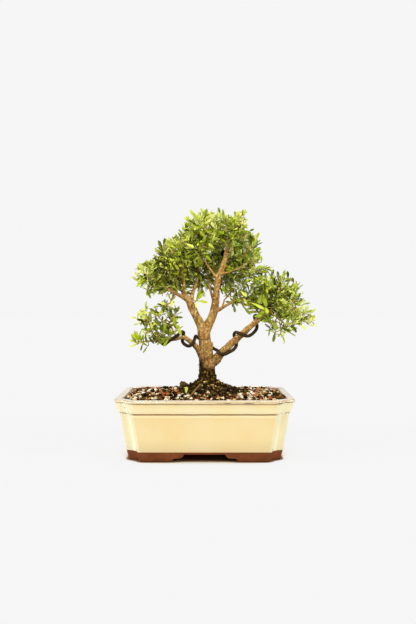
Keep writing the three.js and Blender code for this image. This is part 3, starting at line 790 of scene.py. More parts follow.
TRAINING_WIRE_RADIUS = 2
TRAINING_WIRE_ROUTE = [
    (-60.5, -15.6, 135.8), (-56.5, -13, 138.2), (-53.4, -8, 136), (-51.5, -8.2, 130.6), (-48, -12.5, 128.6),
    (-43.5, -16.5, 131.8), (-38.5, -16.3, 135.6), (-34, -15.2, 138.4), (-30, -13.2, 141.2),
    (-27, -9.6, 143.4), (-25.3, -5.4, 142), (-26.4, -3.4, 137), (-26.8, -5, 131.8), (-23.7, -7.4, 128.2),
    (-19, -9.4, 126.6), (-14, -11.4, 129.7), (-12, -7.4, 135.6), (-11, -1, 138), (-8.5, 5.1, 136),
    (-1.1, 9.5, 131), (6, 8.2, 126.4), (10.4, 3.4, 123), (12.9, -2.4, 121.9), (14.7, -7.7, 121.2),
    (17.9, -10.9, 117.6), (23, -11, 116.8), (28.8, -10, 119.4), (34.6, -7.2, 122.6), (37.7, -3.9, 127.4),
    (37.1, -1.8, 133), (34.9, -4, 138.8), (36.5, -10.9, 142.9), (42.4, -16.1, 141.3), (48.5, -15.8, 138.8),
    (53.2, -13, 139.2), (57.8, -9.6, 142.4), (61.4, -6.8, 146.6), (62.2, -5.2, 151.4), (60.2, -5.4, 156.6),
    (59, -8.6, 161.6), (60.7, -14.4, 162.9), (64.7, -17.7, 159.5), (70, -16.2, 156.6), (74.6, -11, 158.6),
    (75.6, -5.4, 164.4), (75.7, -5.3, 171.1), (78.4, -13.2, 174.8),
]
# How the wire's ends are rounded: steps in from an end and widths there, both as shares of the radius
ROUNDED_END = [(0.0, 0.35), (0.06, 0.72), (0.2, 0.93), (0.45, 1)]


def centripetal(points, steps):
    """Points along a centripetal Catmull-Rom curve, the first and the last point included."""
    ends = [2 * points[0] - points[1]] + points + [2 * points[-1] - points[-2]]
    path = []
    for p0, p1, p2, p3 in zip(ends, ends[1:], ends[2:], ends[3:]):
        t1 = (p1 - p0).length ** 0.5
        t2 = t1 + (p2 - p1).length ** 0.5
        t3 = t2 + (p3 - p2).length ** 0.5
        for step in range(steps):
            t = t1 + (t2 - t1) * step / steps
            a1 = p0 * (t1 - t) / t1 + p1 * t / t1
            a2 = p1 * (t2 - t) / (t2 - t1) + p2 * (t - t1) / (t2 - t1)
            a3 = p2 * (t3 - t) / (t3 - t2) + p3 * (t - t2) / (t3 - t2)
            b1 = a1 * (t2 - t) / t2 + a2 * t / t2
            b2 = a2 * (t3 - t) / (t3 - t1) + a3 * (t - t1) / (t3 - t1)
            path.append(b1 * (t2 - t) / (t2 - t1) + b2 * (t - t1) / (t2 - t1))
    return path + [points[-1].copy()]


def make_training_wire():
    path = centripetal([place(*point) for point in TRAINING_WIRE_ROUTE], 7)
    radius = TRAINING_WIRE_RADIUS * MM
    start, after = path[0], (path[1] - path[0]).normalized()
    end, before = path[-1], (path[-2] - path[-1]).normalized()
    bar = [(start + after * radius * step, radius * share) for step, share in ROUNDED_END]
    bar += [(point, radius) for point in path[1:-1]]
    bar += [(end + before * radius * step, radius * share) for step, share in reversed(ROUNDED_END)]
    wire = tubes([bar], "wire", sides=4)
    smooth_by_angle(wire, 50)
    hand_in(wire, "wound_training_wire", wire_finish(), ["training_wire"])


# The growing medium: a fine dark bed, and loose granules on it


def cad_tree(node):
    return tree_of(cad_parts[node].data)


def ground_under(ground, x, y):
    return ground.ray_cast(Vector((x, y, 120 * MM)), Vector((0, 0, -1)))


MOUND_MIDDLE_X = 3.5
BED_SIDES = [(22.5, 17.4, 11.5, 1.2), (18.7, 21.4, 12.5, 1.2), (10.6, 63, 14, 1.2), (10.2, 65.7, 14, 1.2)]
# The mound's levels: width as a share of the bed, and height
MOUND = [
    (0.92, 65.9), (0.8, 66.8), (0.6, 68.6), (0.45, 71.4), (0.32, 75.6), (0.22, 79.4), (0.14, 82),
    (0.05, 82.6),
]
ROOM_FOR_CRUMBS = 0.6


def make_soil_bed():
    rings = [pot_level(*level) for level in BED_SIDES]
    edge = rings[-1]
    middle = place(MOUND_MIDDLE_X, 0, 0)
    for share, height in MOUND:
        z = (height - ROOM_FOR_CRUMBS) * MM
        rings.append([Vector((*middle.lerp(point, share).xy, z)) for point in edge])
    bed = skin_through(rings, "bed")
    subdivide(bed, "SIMPLE", 1)
    displace(bed, 1.6, "CLOUDS", 6)
    displace(bed, 1.0, "CLOUDS", 2.2)
    apply_all(bed)
    smooth(bed)
    hand_in(bed, "medium_bed", medium_finish(), ["growing_medium"])


def granule_templates():
    """Six angular granules about 1 mm in radius, each a bevelled block knocked out of shape."""
    shapes = []
    for number in range(6):
        bpy.ops.object.select_all(action="DESELECT")
        bpy.ops.mesh.primitive_cube_add(size=1.7 * MM)
        shape = bpy.context.object
        edit_whole(shape)
        bpy.ops.mesh.bevel(offset=0.42 * MM, segments=1, affect="EDGES")
        bpy.ops.mesh.select_all(action="SELECT")
        bpy.ops.transform.vertex_random(offset=0.2 * MM, uniform=1, normal=0, seed=number + 3)
        bpy.ops.transform.resize(value=(1.15, 0.95 - 0.05 * (number % 3), 0.78 + 0.06 * (number % 2)))
        bpy.ops.object.mode_set(mode="OBJECT")
        smooth_by_angle(shape, 28)
        shape.data.attributes.new("shade", "FLOAT", "POINT")
        shapes.append(shape)
    return shapes


# Granules and crumbs of litter that the eye picks out, seen from the front: across, up, radius, kind, shade
MARKED_GRAINS = [
    (-88.3, 68.0, 1.7, "lava", 0.9), (-77.5, 67.7, 1.8, "pumice", 0.8), (-72.5, 68.4, 2.3, "pumice", 0.9),
    (-80.9, 63.2, 2.1, "pumice", 0.3), (-75.1, 62.9, 1.8, "pumice", 0.5),
    (-64.8, 71.8, 2.1, "pumice", 0.25), (-61.5, 68.9, 1.7, "pumice", 0.8), (-57.0, 72.3, 2.4, "lava", 0.7),
    (-58.2, 63.2, 2.4, "litter", 0.9), (-52.8, 69.4, 2.1, "pumice", 0.9), (-49.7, 71.8, 1.8, "pumice", 0.8),
    (-46.8, 68.9, 1.8, "dark", 0.9), (-49.0, 64.1, 2.0, "litter", 0.8), (-44.6, 65.3, 1.2, "lava", 0.6),
    (-40.1, 64.3, 1.6, "pumice", 0.5), (-38.1, 68.9, 1.4, "litter", 0.7), (-44.0, 74.1, 2.0, "lava", 0.15),
    (-39.6, 74.2, 1.4, "pumice", 0.6), (-31.4, 68.4, 1.8, "lava", 0.65), (-36.0, 62.5, 1.4, "lava", 0.6),
    (-28.0, 63.2, 1.8, "litter", 0.75), (-24.0, 65.5, 1.7, "pumice", 0.7),
    (-20.3, 66.2, 1.9, "pumice", 0.8), (-20.8, 63.4, 1.5, "pumice", 0.6), (-16.0, 64.3, 1.6, "lava", 0.5),
    (-11.2, 68.6, 1.9, "pumice", 0.55), (-6.9, 67.7, 1.0, "lava", 0.8), (-7.7, 63.8, 1.6, "pumice", 0.8),
    (-12.7, 62.6, 1.4, "lava", 0.6), (-0.4, 66.7, 1.5, "lava", 0.9), (3.0, 65.2, 1.7, "litter", 0.85),
    (3.7, 69.8, 2.1, "pumice", 0.45), (-2.8, 62.4, 1.4, "lava", 0.6), (8.0, 62.4, 2.3, "lava", 0.65),
    (15.2, 65.8, 1.8, "lava", 0.3), (16.4, 62.9, 1.9, "pumice", 0.5), (20.5, 62.6, 1.7, "pumice", 0.4),
    (26.3, 64.8, 1.6, "lava", 0.2), (31.6, 63.1, 1.6, "lava", 0.7), (40.3, 63.0, 1.7, "lava", 0.5),
    (46.5, 67.0, 1.4, "lava", 0.85), (47.2, 62.6, 1.4, "lava", 0.8), (50.6, 66.0, 1.8, "lava", 0.45),
    (54.2, 64.6, 1.7, "lava", 0.4), (53.0, 62.4, 1.9, "pumice", 0.8), (58.0, 62.2, 2.0, "pumice", 0.9),
    (48.7, 70.6, 1.4, "tan", 0.9), (53.7, 67.4, 1.6, "pumice", 0.8), (58.5, 65.3, 1.8, "litter", 0.25),
    (61.2, 63.6, 1.2, "litter", 0.5), (56.6, 72.0, 2.1, "pumice", 0.9), (60.7, 72.3, 1.6, "pumice", 0.8),
    (64.8, 70.1, 1.8, "pumice", 0.5), (70.3, 69.8, 2.9, "pumice", 0.6), (67.7, 63.0, 1.5, "lava", 0.7),
    (71.0, 63.4, 1.4, "pumice", 0.7), (76.3, 71.3, 2.0, "dark", 0.4), (80.7, 71.8, 2.0, "dark", 0.4),
    (79.2, 65.2, 1.8, "pumice", 0.95), (85.5, 70.1, 1.7, "litter", 0.8), (83.5, 72.7, 1.5, "pumice", 0.8),
    (42.4, 73.5, 1.4, "litter", 0.6), (52.0, 75.6, 1.7, "pumice", 0.7), (-0.4, 82.8, 1.6, "tan", 0.95),
    (3.9, 77.8, 1.4, "tan", 0.5), (9.0, 79.0, 1.7, "tan", 0.6), (12.8, 77.8, 1.2, "tan", 0.7),
    (10.7, 75.1, 1.2, "tan", 0.4), (28.5, 78.3, 1.9, "litter", 0.15), (31.8, 77.8, 1.8, "litter", 0.1),
    (-47.3, 76.1, 1.6, "litter", 0.4),
]
# Kinds of granule: share of those strewn over the bed, slot and colours. Litter is strewn on the mound only
GRANULES = {
    "dark": (0.56, "growing_medium", [
        (0.1, (0.008, 0.005, 0.002)), (0.55, (0.023, 0.014, 0.005)), (0.85, (0.13, 0.075, 0.02)),
    ]),
    "pumice": (0.19, "pumice", [
        (0.1, (0.53, 0.40, 0.20)), (0.5, (0.84, 0.74, 0.50)), (0.9, (0.95, 0.91, 0.76)),
    ]),
    "lava": (0.12, "lava", [
        (0.1, (0.16, 0.032, 0.010)), (0.5, (0.36, 0.095, 0.03)), (0.9, (0.62, 0.24, 0.08)),
    ]),
    "tan": (0.13, "growing_medium", [
        (0.1, (0.24, 0.115, 0.035)), (0.5, (0.44, 0.25, 0.08)), (0.9, (0.66, 0.46, 0.18)),
    ]),
    "litter": (0, "leaf", [
        (0.1, (0.10, 0.11, 0.02)), (0.5, (0.36, 0.36, 0.09)), (0.9, (0.82, 0.74, 0.32)),
    ]),
}
GRAIN_RADII = (1.5, 1.9, 2.3, 2.6, 3.0)
GRAIN_PITCH = 4.3
ROW_PITCH = GRAIN_PITCH * 0.866
FIELD_LENGTH = 220  # the rows are laid over this field, and the pot's outline cuts them off
FIELD_WIDTH = 160
MOSSY_MIDDLE_X = 8  # fine dark crumbs cover the medium round the trunk, out to this reach
MOSSY_REACH = 43


def scatter_granules(wood_tree):
    rng = random.Random(41)
    shapes = granule_templates()
    ground = cad_tree("growing_medium")
    chip = cad_tree("bark_chip")
    leaf = cad_tree("shed_leaf")
    outline = [(p.x, p.y) for p in pot_level(11.2, 66, 14, 1.2)]
    piles = {kind: [] for kind in GRANULES}
    marked = []

    def put(where, radius, kind, shade):
        turn = Matrix.Rotation(rng.uniform(0, 6.28), 4, "Z") @ Matrix.Rotation(rng.uniform(0, 6.28), 4, "X")
        granule = copy_of(rng.choice(shapes), Matrix.Translation(where) @ turn @ even(radius / MM))
        fill_attribute(granule, "shade", shade)
        piles[kind].append(granule)

    def lay(x, y, radius, kind, lift):
        """Lays a granule on the ground, unless it would touch something else there."""
        hit = ground_under(ground, x, y)
        if hit[0] is None:
            return
        where = hit[0] + Vector((0, 0, radius * lift))
        for tree, room in ((wood_tree, 0.55), (chip, 0.8), (leaf, 0.4)):
            near = tree.find_nearest(where, radius * 2)
            if near[0] is not None and near[3] < radius * room:
                return
        if all((where - spot).length > (radius + other) * 0.8 for spot, other in marked):
            put(where, radius, kind, rng.random())

    def pick_kind():
        draw = rng.random()
        for kind, (share, _, _) in GRANULES.items():
            draw -= share
            if draw < 0:
                return kind
        return "dark"

    eye = place(*EYE)
    for across, up, radius, kind, shade in MARKED_GRAINS:
        gaze = (place(across, 0, up) - eye).normalized()
        hits = [tree.ray_cast(eye, gaze) for tree in (ground, wood_tree)]
        seen = [hit for hit in hits if hit[0] is not None]
        if not seen:
            continue
        # it looks as big where it lies as it would in the plane of the trunk, and this makes it metres too
        where = min(seen, key=lambda hit: hit[3])[0]
        radius *= (where - eye).length / -EYE[1]
        put(where, radius, kind, shade)
        marked.append((where, radius))
    for row in range(int(FIELD_WIDTH / ROW_PITCH)):
        row_y = (row * ROW_PITCH - FIELD_WIDTH / 2) * MM
        for column in range(int(FIELD_LENGTH / GRAIN_PITCH)):
            x = POT_MIDDLE_X + ((column + 0.5 * (row % 2)) * GRAIN_PITCH - FIELD_LENGTH / 2) * MM
            x += rng.uniform(-1.1, 1.1) * MM
            y = row_y + rng.uniform(-1.1, 1.1) * MM
            kind = pick_kind()
            radius = rng.choice(GRAIN_RADII) * MM
            on_mound = math.hypot((x - POT_MIDDLE_X) / MM - MOSSY_MIDDLE_X, y / MM) < MOSSY_REACH
            if on_mound:
                draw = rng.random()
                kind = "tan" if draw < 0.11 else "litter" if draw < 0.2 else "dark"
                radius *= 0.75 if kind == "dark" else 0.48
            if not inside_outline(x, y, outline):
                continue
            lay(x, y, radius, kind, rng.uniform(-0.1, 0.45))
            if rng.random() < 0.2:
                kind = kind if on_mound else pick_kind()
                lay(x + rng.uniform(-2, 2) * MM, y, radius * 0.8, kind, rng.uniform(1.1, 1.5))
    for kind, (_, slot, stops) in GRANULES.items():
        whole = join(piles[kind], kind + "_granules")
        hand_in(whole, kind + "_granules", grain_finish(kind + "_granule", stops))
    remove(*shapes)


MOSS_TRIES = 1500
MOSS_HEIGHTS = (74, 112)
MOSS_THINS = 93  # few tufts stand higher than this on the wood
MOSS_GREENS = [(0.1, (0.005, 0.004, 0.001)), (0.55, (0.02, 0.014, 0.003)), (0.9, (0.36, 0.25, 0.05))]


def moss_tuft():
    blades = []
    for number in range(9):
        bpy.ops.object.select_all(action="DESELECT")
        bpy.ops.mesh.primitive_cone_add(vertices=3, radius1=0.34 * MM, radius2=0, depth=1.9 * MM)
        blade = bpy.context.object
        turn = Matrix.Rotation(number * 2.4, 4, "Z") @ Matrix.Rotation(0.2 + 0.09 * number, 4, "X")
        blade.matrix_world = turn @ Matrix.Translation((0, 0, 0.6 * MM))
        blades.append(blade)
    tuft = join(blades, "tuft")
    tuft.data.attributes.new("shade", "FLOAT", "POINT")
    return tuft


def make_moss(wood_tree):
    """Tufts of moss on the foot of the trunk, on the roots and on the mound."""
    rng = random.Random(5)
    tuft = moss_tuft()
    ground = cad_tree("growing_medium")
    tufts = []
    for _ in range(MOSS_TRIES):
        angle, reach = rng.uniform(0, 6.283), 3 + 27 * rng.random() ** 0.8
        x = POT_MIDDLE_X + (MOUND_MIDDLE_X + reach * math.cos(angle)) * MM
        y = reach * math.sin(angle) * 0.9 * MM
        hit = ground_under(ground, x, y)
        on_wood = wood_tree.find_nearest(Vector((x, y, rng.uniform(*MOSS_HEIGHTS) * MM)), 3 * MM)
        if on_wood[0] is not None and rng.random() < 0.75 and on_wood[0].z > MOSS_HEIGHTS[0] * MM:
            if on_wood[0].z > MOSS_THINS * MM and rng.random() < 0.85:
                continue
            where, up = on_wood[0], on_wood[1]
        elif hit[0] is not None and reach < 22 and rng.random() < 0.35:
            where, up = hit[0] + Vector((0, 0, 0.6 * MM)), Vector((0, 0, 1))
        else:
            continue
        size = rng.uniform(0.55, 1.1)
        turn = upright(up) @ Matrix.Rotation(rng.uniform(0, 6.28), 4, "Z")
        copy = copy_of(tuft, Matrix.Translation(where) @ turn @ even(size))
        fill_attribute(copy, "shade", rng.random() ** 1.6)
        tufts.append(copy)
    hand_in(join(tufts, "moss"), "moss_tufts", grain_finish("dark_moss", MOSS_GREENS, 700))
    remove(tuft)


CHIP_PLACE = (-25.5, -2, 80.2)
CHIP_HALF_SIZES = (5.2, 3.6, 3.4)


def make_chip():
    bpy.ops.object.select_all(action="DESELECT")
    bpy.ops.mesh.primitive_cube_add(size=1.55 * MM)
    chip = bpy.context.object
    subdivide(chip, "SIMPLE", 3)
    subdivide(chip, "CATMULL_CLARK", 1)
    chip.modifiers.new("round", "CAST").factor = 0.55
    apply_all(chip)
    turn = Matrix.Rotation(0.4, 4, "Z") @ Matrix.Rotation(0.35, 4, "Y")
    size = Matrix.Diagonal((*CHIP_HALF_SIZES, 1))
    chip.matrix_world = Matrix.Translation(place(*CHIP_PLACE)) @ turn @ size
    settle(chip)
    displace(chip, 2.2, "CLOUDS", 3.0)
    displace(chip, 0.9, "VORONOI", 1.4)
    apply_all(chip)
    smooth_by_angle(chip, 40)
    dark, light = (0.006, 0.004, 0.002), (0.14, 0.085, 0.025)
    finish = plain_finish("weathered_bark_chip", dark, light, 620, 0.88, 0.6, gloss=0.03)
    hand_in(chip, "loose_bark_chip", finish, ["bark_chip"])


# Leaves. A blade lies along +Y from its stalk at the origin, with its upper face up

# Stations along a blade, as shares of its length and half width, and the section at its tip
BLADE_STATIONS = [(0.0, 0.13), (0.16, 0.38), (0.40, 0.76), (0.68, 1.0), (0.89, 0.76)]
BLADE_TIP = [(-0.2, 0.02), (0, -0.1), (0.2, 0.02), (0.1, 0.08), (0, 0.05), (-0.1, 0.08)]
# Blades: name, length, width, droop, and how steeply the halves fold up from the midrib
BLADES = [
    ("blade_plain", 14, 3.8, 0.9, 0.22),
    ("blade_broad", 12.5, 4.4, 0.5, 0.14),
    ("blade_arched", 15, 3.6, 1.9, 0.26),
    ("blade_long", 16.5, 3.8, 1.3, 0.18),
]
LEAF_ATTRIBUTES = ("tone", "cool", "under")


def leaf_blade(name, length, width, droop, fold):
    """A closed boxwood blade: six points round each station, with a groove along the midrib."""
    half = width / 2
    rings = []
    for station, share in BLADE_STATIONS:
        w = half * share
        z = droop * math.sin(station * 2.4) - droop * 0.5 * station
        thick = 0.16 if station else 0.28
        edge, top = fold * w, 0.62 * fold * w + thick
        section = [(-w, edge), (0, -thick), (w, edge), (0.52 * w, top), (0, 0.3 * thick), (-0.52 * w, top)]
        rings.append([Vector((x, length * station, z + dz)) * MM for x, dz in section])
    tip_z = droop * math.sin(2.4) - droop * 0.5
    rings.append([Vector((x * half, length, tip_z + dz)) * MM for x, dz in BLADE_TIP])
    blade = skin_through(rings, name)
    uv = blade.data.uv_layers.new(name="blade")
    for loop in blade.data.loops:
        co = blade.data.vertices[loop.vertex_index].co
        uv.data[loop.index].uv = (0.5 + co.x / (width * MM), co.y / (length * MM))
    for attribute in LEAF_ATTRIBUTES:
        blade.data.attributes.new(attribute, "FLOAT", "POINT")
    below = [1.0 if vertex.normal.z < -0.5 else 0.0 for vertex in blade.data.vertices]
    blade.data.attributes["under"].data.foreach_set("value", below)
    smooth_by_angle(blade, 62)
    return blade


# Shoots: name, length, leaf pairs, leaf size, lean of the top leaves and of the lowest in degrees, and curve
SHOOTS = [
    ("shoot_a", 13.5, 5, 0.84, 20, 60, 0.10),
    ("shoot_b", 11, 4, 0.88, 24, 58, -0.12),
    ("shoot_c", 15, 5, 0.82, 18, 62, 0.2),
    ("shoot_d", 8, 3, 0.76, 28, 64, 0.0),
    ("shoot_e", 12, 4, 0.84, 22, 60, 0.15),
]
STEM_TONE = 0.12
LEAF_TONES = (-0.33, -0.16, 0, 0.15, 0.39)
TIP_LEAF_TONE = 0.22


def make_shoot(blades, rng, name, length, pairs, leaf_size, top_lean, low_lean, curve):
    """A shoot along +Z: a thin stem with opposite leaf pairs, closer together towards its tip."""

    def on_stem(t):
        return Vector((curve * length * t * t, 0, length * t)) * MM

    stem = [(on_stem(step / 5), (0.5 - 0.04 * step) * MM) for step in range(6)]
    stalk = tubes([stem], name + "_stem", sides=1)
    for attribute in LEAF_ATTRIBUTES:
        stalk.data.attributes.new(attribute, "FLOAT", "POINT")
    stalk.data.uv_layers.new(name="blade")
    fill_attribute(stalk, "tone", STEM_TONE)
    leaves = [stalk]

    def set_leaf(t, turn, lean, size, tone):
        matrix = (
            Matrix.Translation(on_stem(t))
            @ Matrix.Rotation(turn, 4, "Z")
            @ Matrix.Rotation(math.pi / 2 - lean, 4, "X")
            @ Matrix.Rotation(rng.uniform(-0.5, 0.5), 4, "Y")
            @ Matrix.Diagonal((size * rng.uniform(0.9, 1.1), size, size, 1))
        )
        leaf = copy_of(rng.choice(blades), matrix)
        fill_attribute(leaf, "tone", tone)
        leaves.append(leaf)

    for pair in range(pairs):
        t = 0.18 + 0.8 * (pair / (pairs - 1)) ** 0.8
        lean = math.radians(low_lean + (top_lean - low_lean) * t)
        turn = math.pi / 2 * pair + rng.uniform(-0.4, 0.4)
        size = leaf_size * (1.0 - 0.25 * max(0, t - 0.6) / 0.4)
        for side in range(2):
            tone = 0.12 * t + rng.choice(LEAF_TONES) + rng.uniform(-0.05, 0.05)
            own_lean = lean + rng.uniform(-0.2, 0.2)
            set_leaf(t, turn + math.pi * side, own_lean, size * rng.uniform(0.8, 1.12), tone)
    for side in range(2):
        lean = math.radians(12 + 8 * side)
        set_leaf(1, 0.8 + math.pi * side, lean, leaf_size * rng.uniform(0.4, 0.6), TIP_LEAF_TONE)
    return join(leaves, name)


# Leaf pads as in the CAD: middle, half sizes, and the least gap between two shoots
LEAF_PADS = {
    "lower_left_tip": ((-73, -10, 138), (18, 17, 12), 9.6),
    "lower_left_front": ((-51, -12, 137), (15, 15, 10), 9.6),
    "lower_left_upper": ((-46, -6, 163), (16, 17, 17), 9.6),
    "lower_left_far": ((-74, -7, 160), (14, 14, 11), 9.6),
    "upper_left_outer": ((-68, -6, 208), (17, 22, 17), 8.2),
    "upper_left_inner": ((-44, -4, 227), (24, 26, 24), 7.9),
    "upper_left_low": ((-40, 4, 203), (22, 20, 13), 8.1),
    "upper_left_top": ((-35, 0, 250), (23, 24, 16), 8.2),
    "upper_left_back": ((-38, 32, 220), (24, 18, 22), 8.2),
    "crown_left": ((-8, -2, 259), (19, 26, 24), 7.9),
    "crown_top": ((17, 0, 270), (19, 24, 19), 8.1),
    "crown_right": ((40, -2, 266), (17, 22, 20), 8.2),
    "crown_outer": ((52, 0, 244), (15, 22, 18), 8.2),
    "crown_middle": ((-6, 14, 224), (20, 20, 25), 7.9),
    "crown_back": ((26, 28, 232), (27, 20, 32), 8.2),
    "right_upper": ((53, 6, 222), (17, 20, 13), 8.2),
    "right_lower": ((42, 2, 186), (21, 16, 10), 8.6),
    "right_pad_top": ((86, -4, 195), (24, 24, 16), 8.2),
    "right_pad_inner": ((74, 0, 176), (18, 20, 14), 8.1),
    "right_pad_outer": ((111, -7, 178), (18, 20, 18), 8.2),
    "right_pad_low": ((93, -12, 154), (20, 16, 13), 8.6),
    "right_pad_back": ((90, 22, 181), (20, 13, 15), 8.2),
    "right_pad_tip": ((125, -8, 163), (9, 11, 9), 7.4),
    "fork_sprout": ((-4, -9, 185), (7, 6, 6), 7.4),
}
# The outlines that the leaves keep to, seen from the front: the crown and right pad, and the low left pad
CROWN_OUTLINE = [
    (-87, 208), (-86.5, 217.5), (-80, 224.5), (-70, 229), (-62, 236), (-59.5, 245), (-56, 252),
    (-48, 254.5), (-36.5, 259), (-27, 270.5), (-20, 291), (1.5, 292), (16.5, 293), (30, 288), (49.5, 290),
    (54, 275), (61.5, 266), (66, 263.5), (69.5, 240.5), (70, 227), (71.5, 217), (85.5, 217.5), (101, 217),
    (113, 201.5), (122, 188), (134.5, 169.5), (133.5, 150), (120, 144), (106, 144), (95, 132.5),
    (83, 132.5), (73.5, 142), (62.5, 156), (53, 166), (37.5, 170.5), (25, 178), (13.5, 185), (3.5, 191),
    (-2.5, 178), (-10.5, 175.5), (-14.5, 188.5), (-23, 185), (-32.5, 182.5), (-50, 187), (-64, 185),
    (-80, 196),
]
LOW_LEFT_OUTLINE = [
    (-83, 170.5), (-71, 180), (-54, 185), (-38.5, 185), (-30, 174), (-25, 157.5), (-27.5, 146.5),
    (-39.5, 141.5), (-45.5, 132), (-63.5, 125), (-72, 120), (-90, 125), (-90, 140.5), (-81.5, 148),
    (-90, 155), (-88, 160),
]
# Daylight inside the outlines: place and radius
OPEN_PATCHES = [(-60.6, 149.6, 6), (-77, 149, 6), (-47, 196, 3)]
MIDDLE_TONE = 0.54
# Where the leaves are lighter or darker, seen from the front: place, reach and by how much. Partly the
# leaves' own tone, and partly painted light and shade: the lit top and sides of the crown lighter, its
# shaded inside darker
LEAF_TONE_AND_PAINTED_LIGHT = [
    (0, 292, 75, 34, 0.36), (-82, 213, 20, 22, 0.35), (-55, 250, 20, 16, 0.12), (-38, 220, 30, 22, -0.24),
    (8, 240, 26, 18, 0.04), (-2, 214, 18, 12, -0.12), (128, 166, 20, 24, 0.36), (62, 240, 18, 30, 0.18),
    (84, 178, 24, 16, -0.12), (110, 206, 16, 14, 0.06), (-82, 156, 14, 34, 0.22), (-48, 148, 18, 18, -0.12),
    (90, 140, 24, 12, 0.06),
]
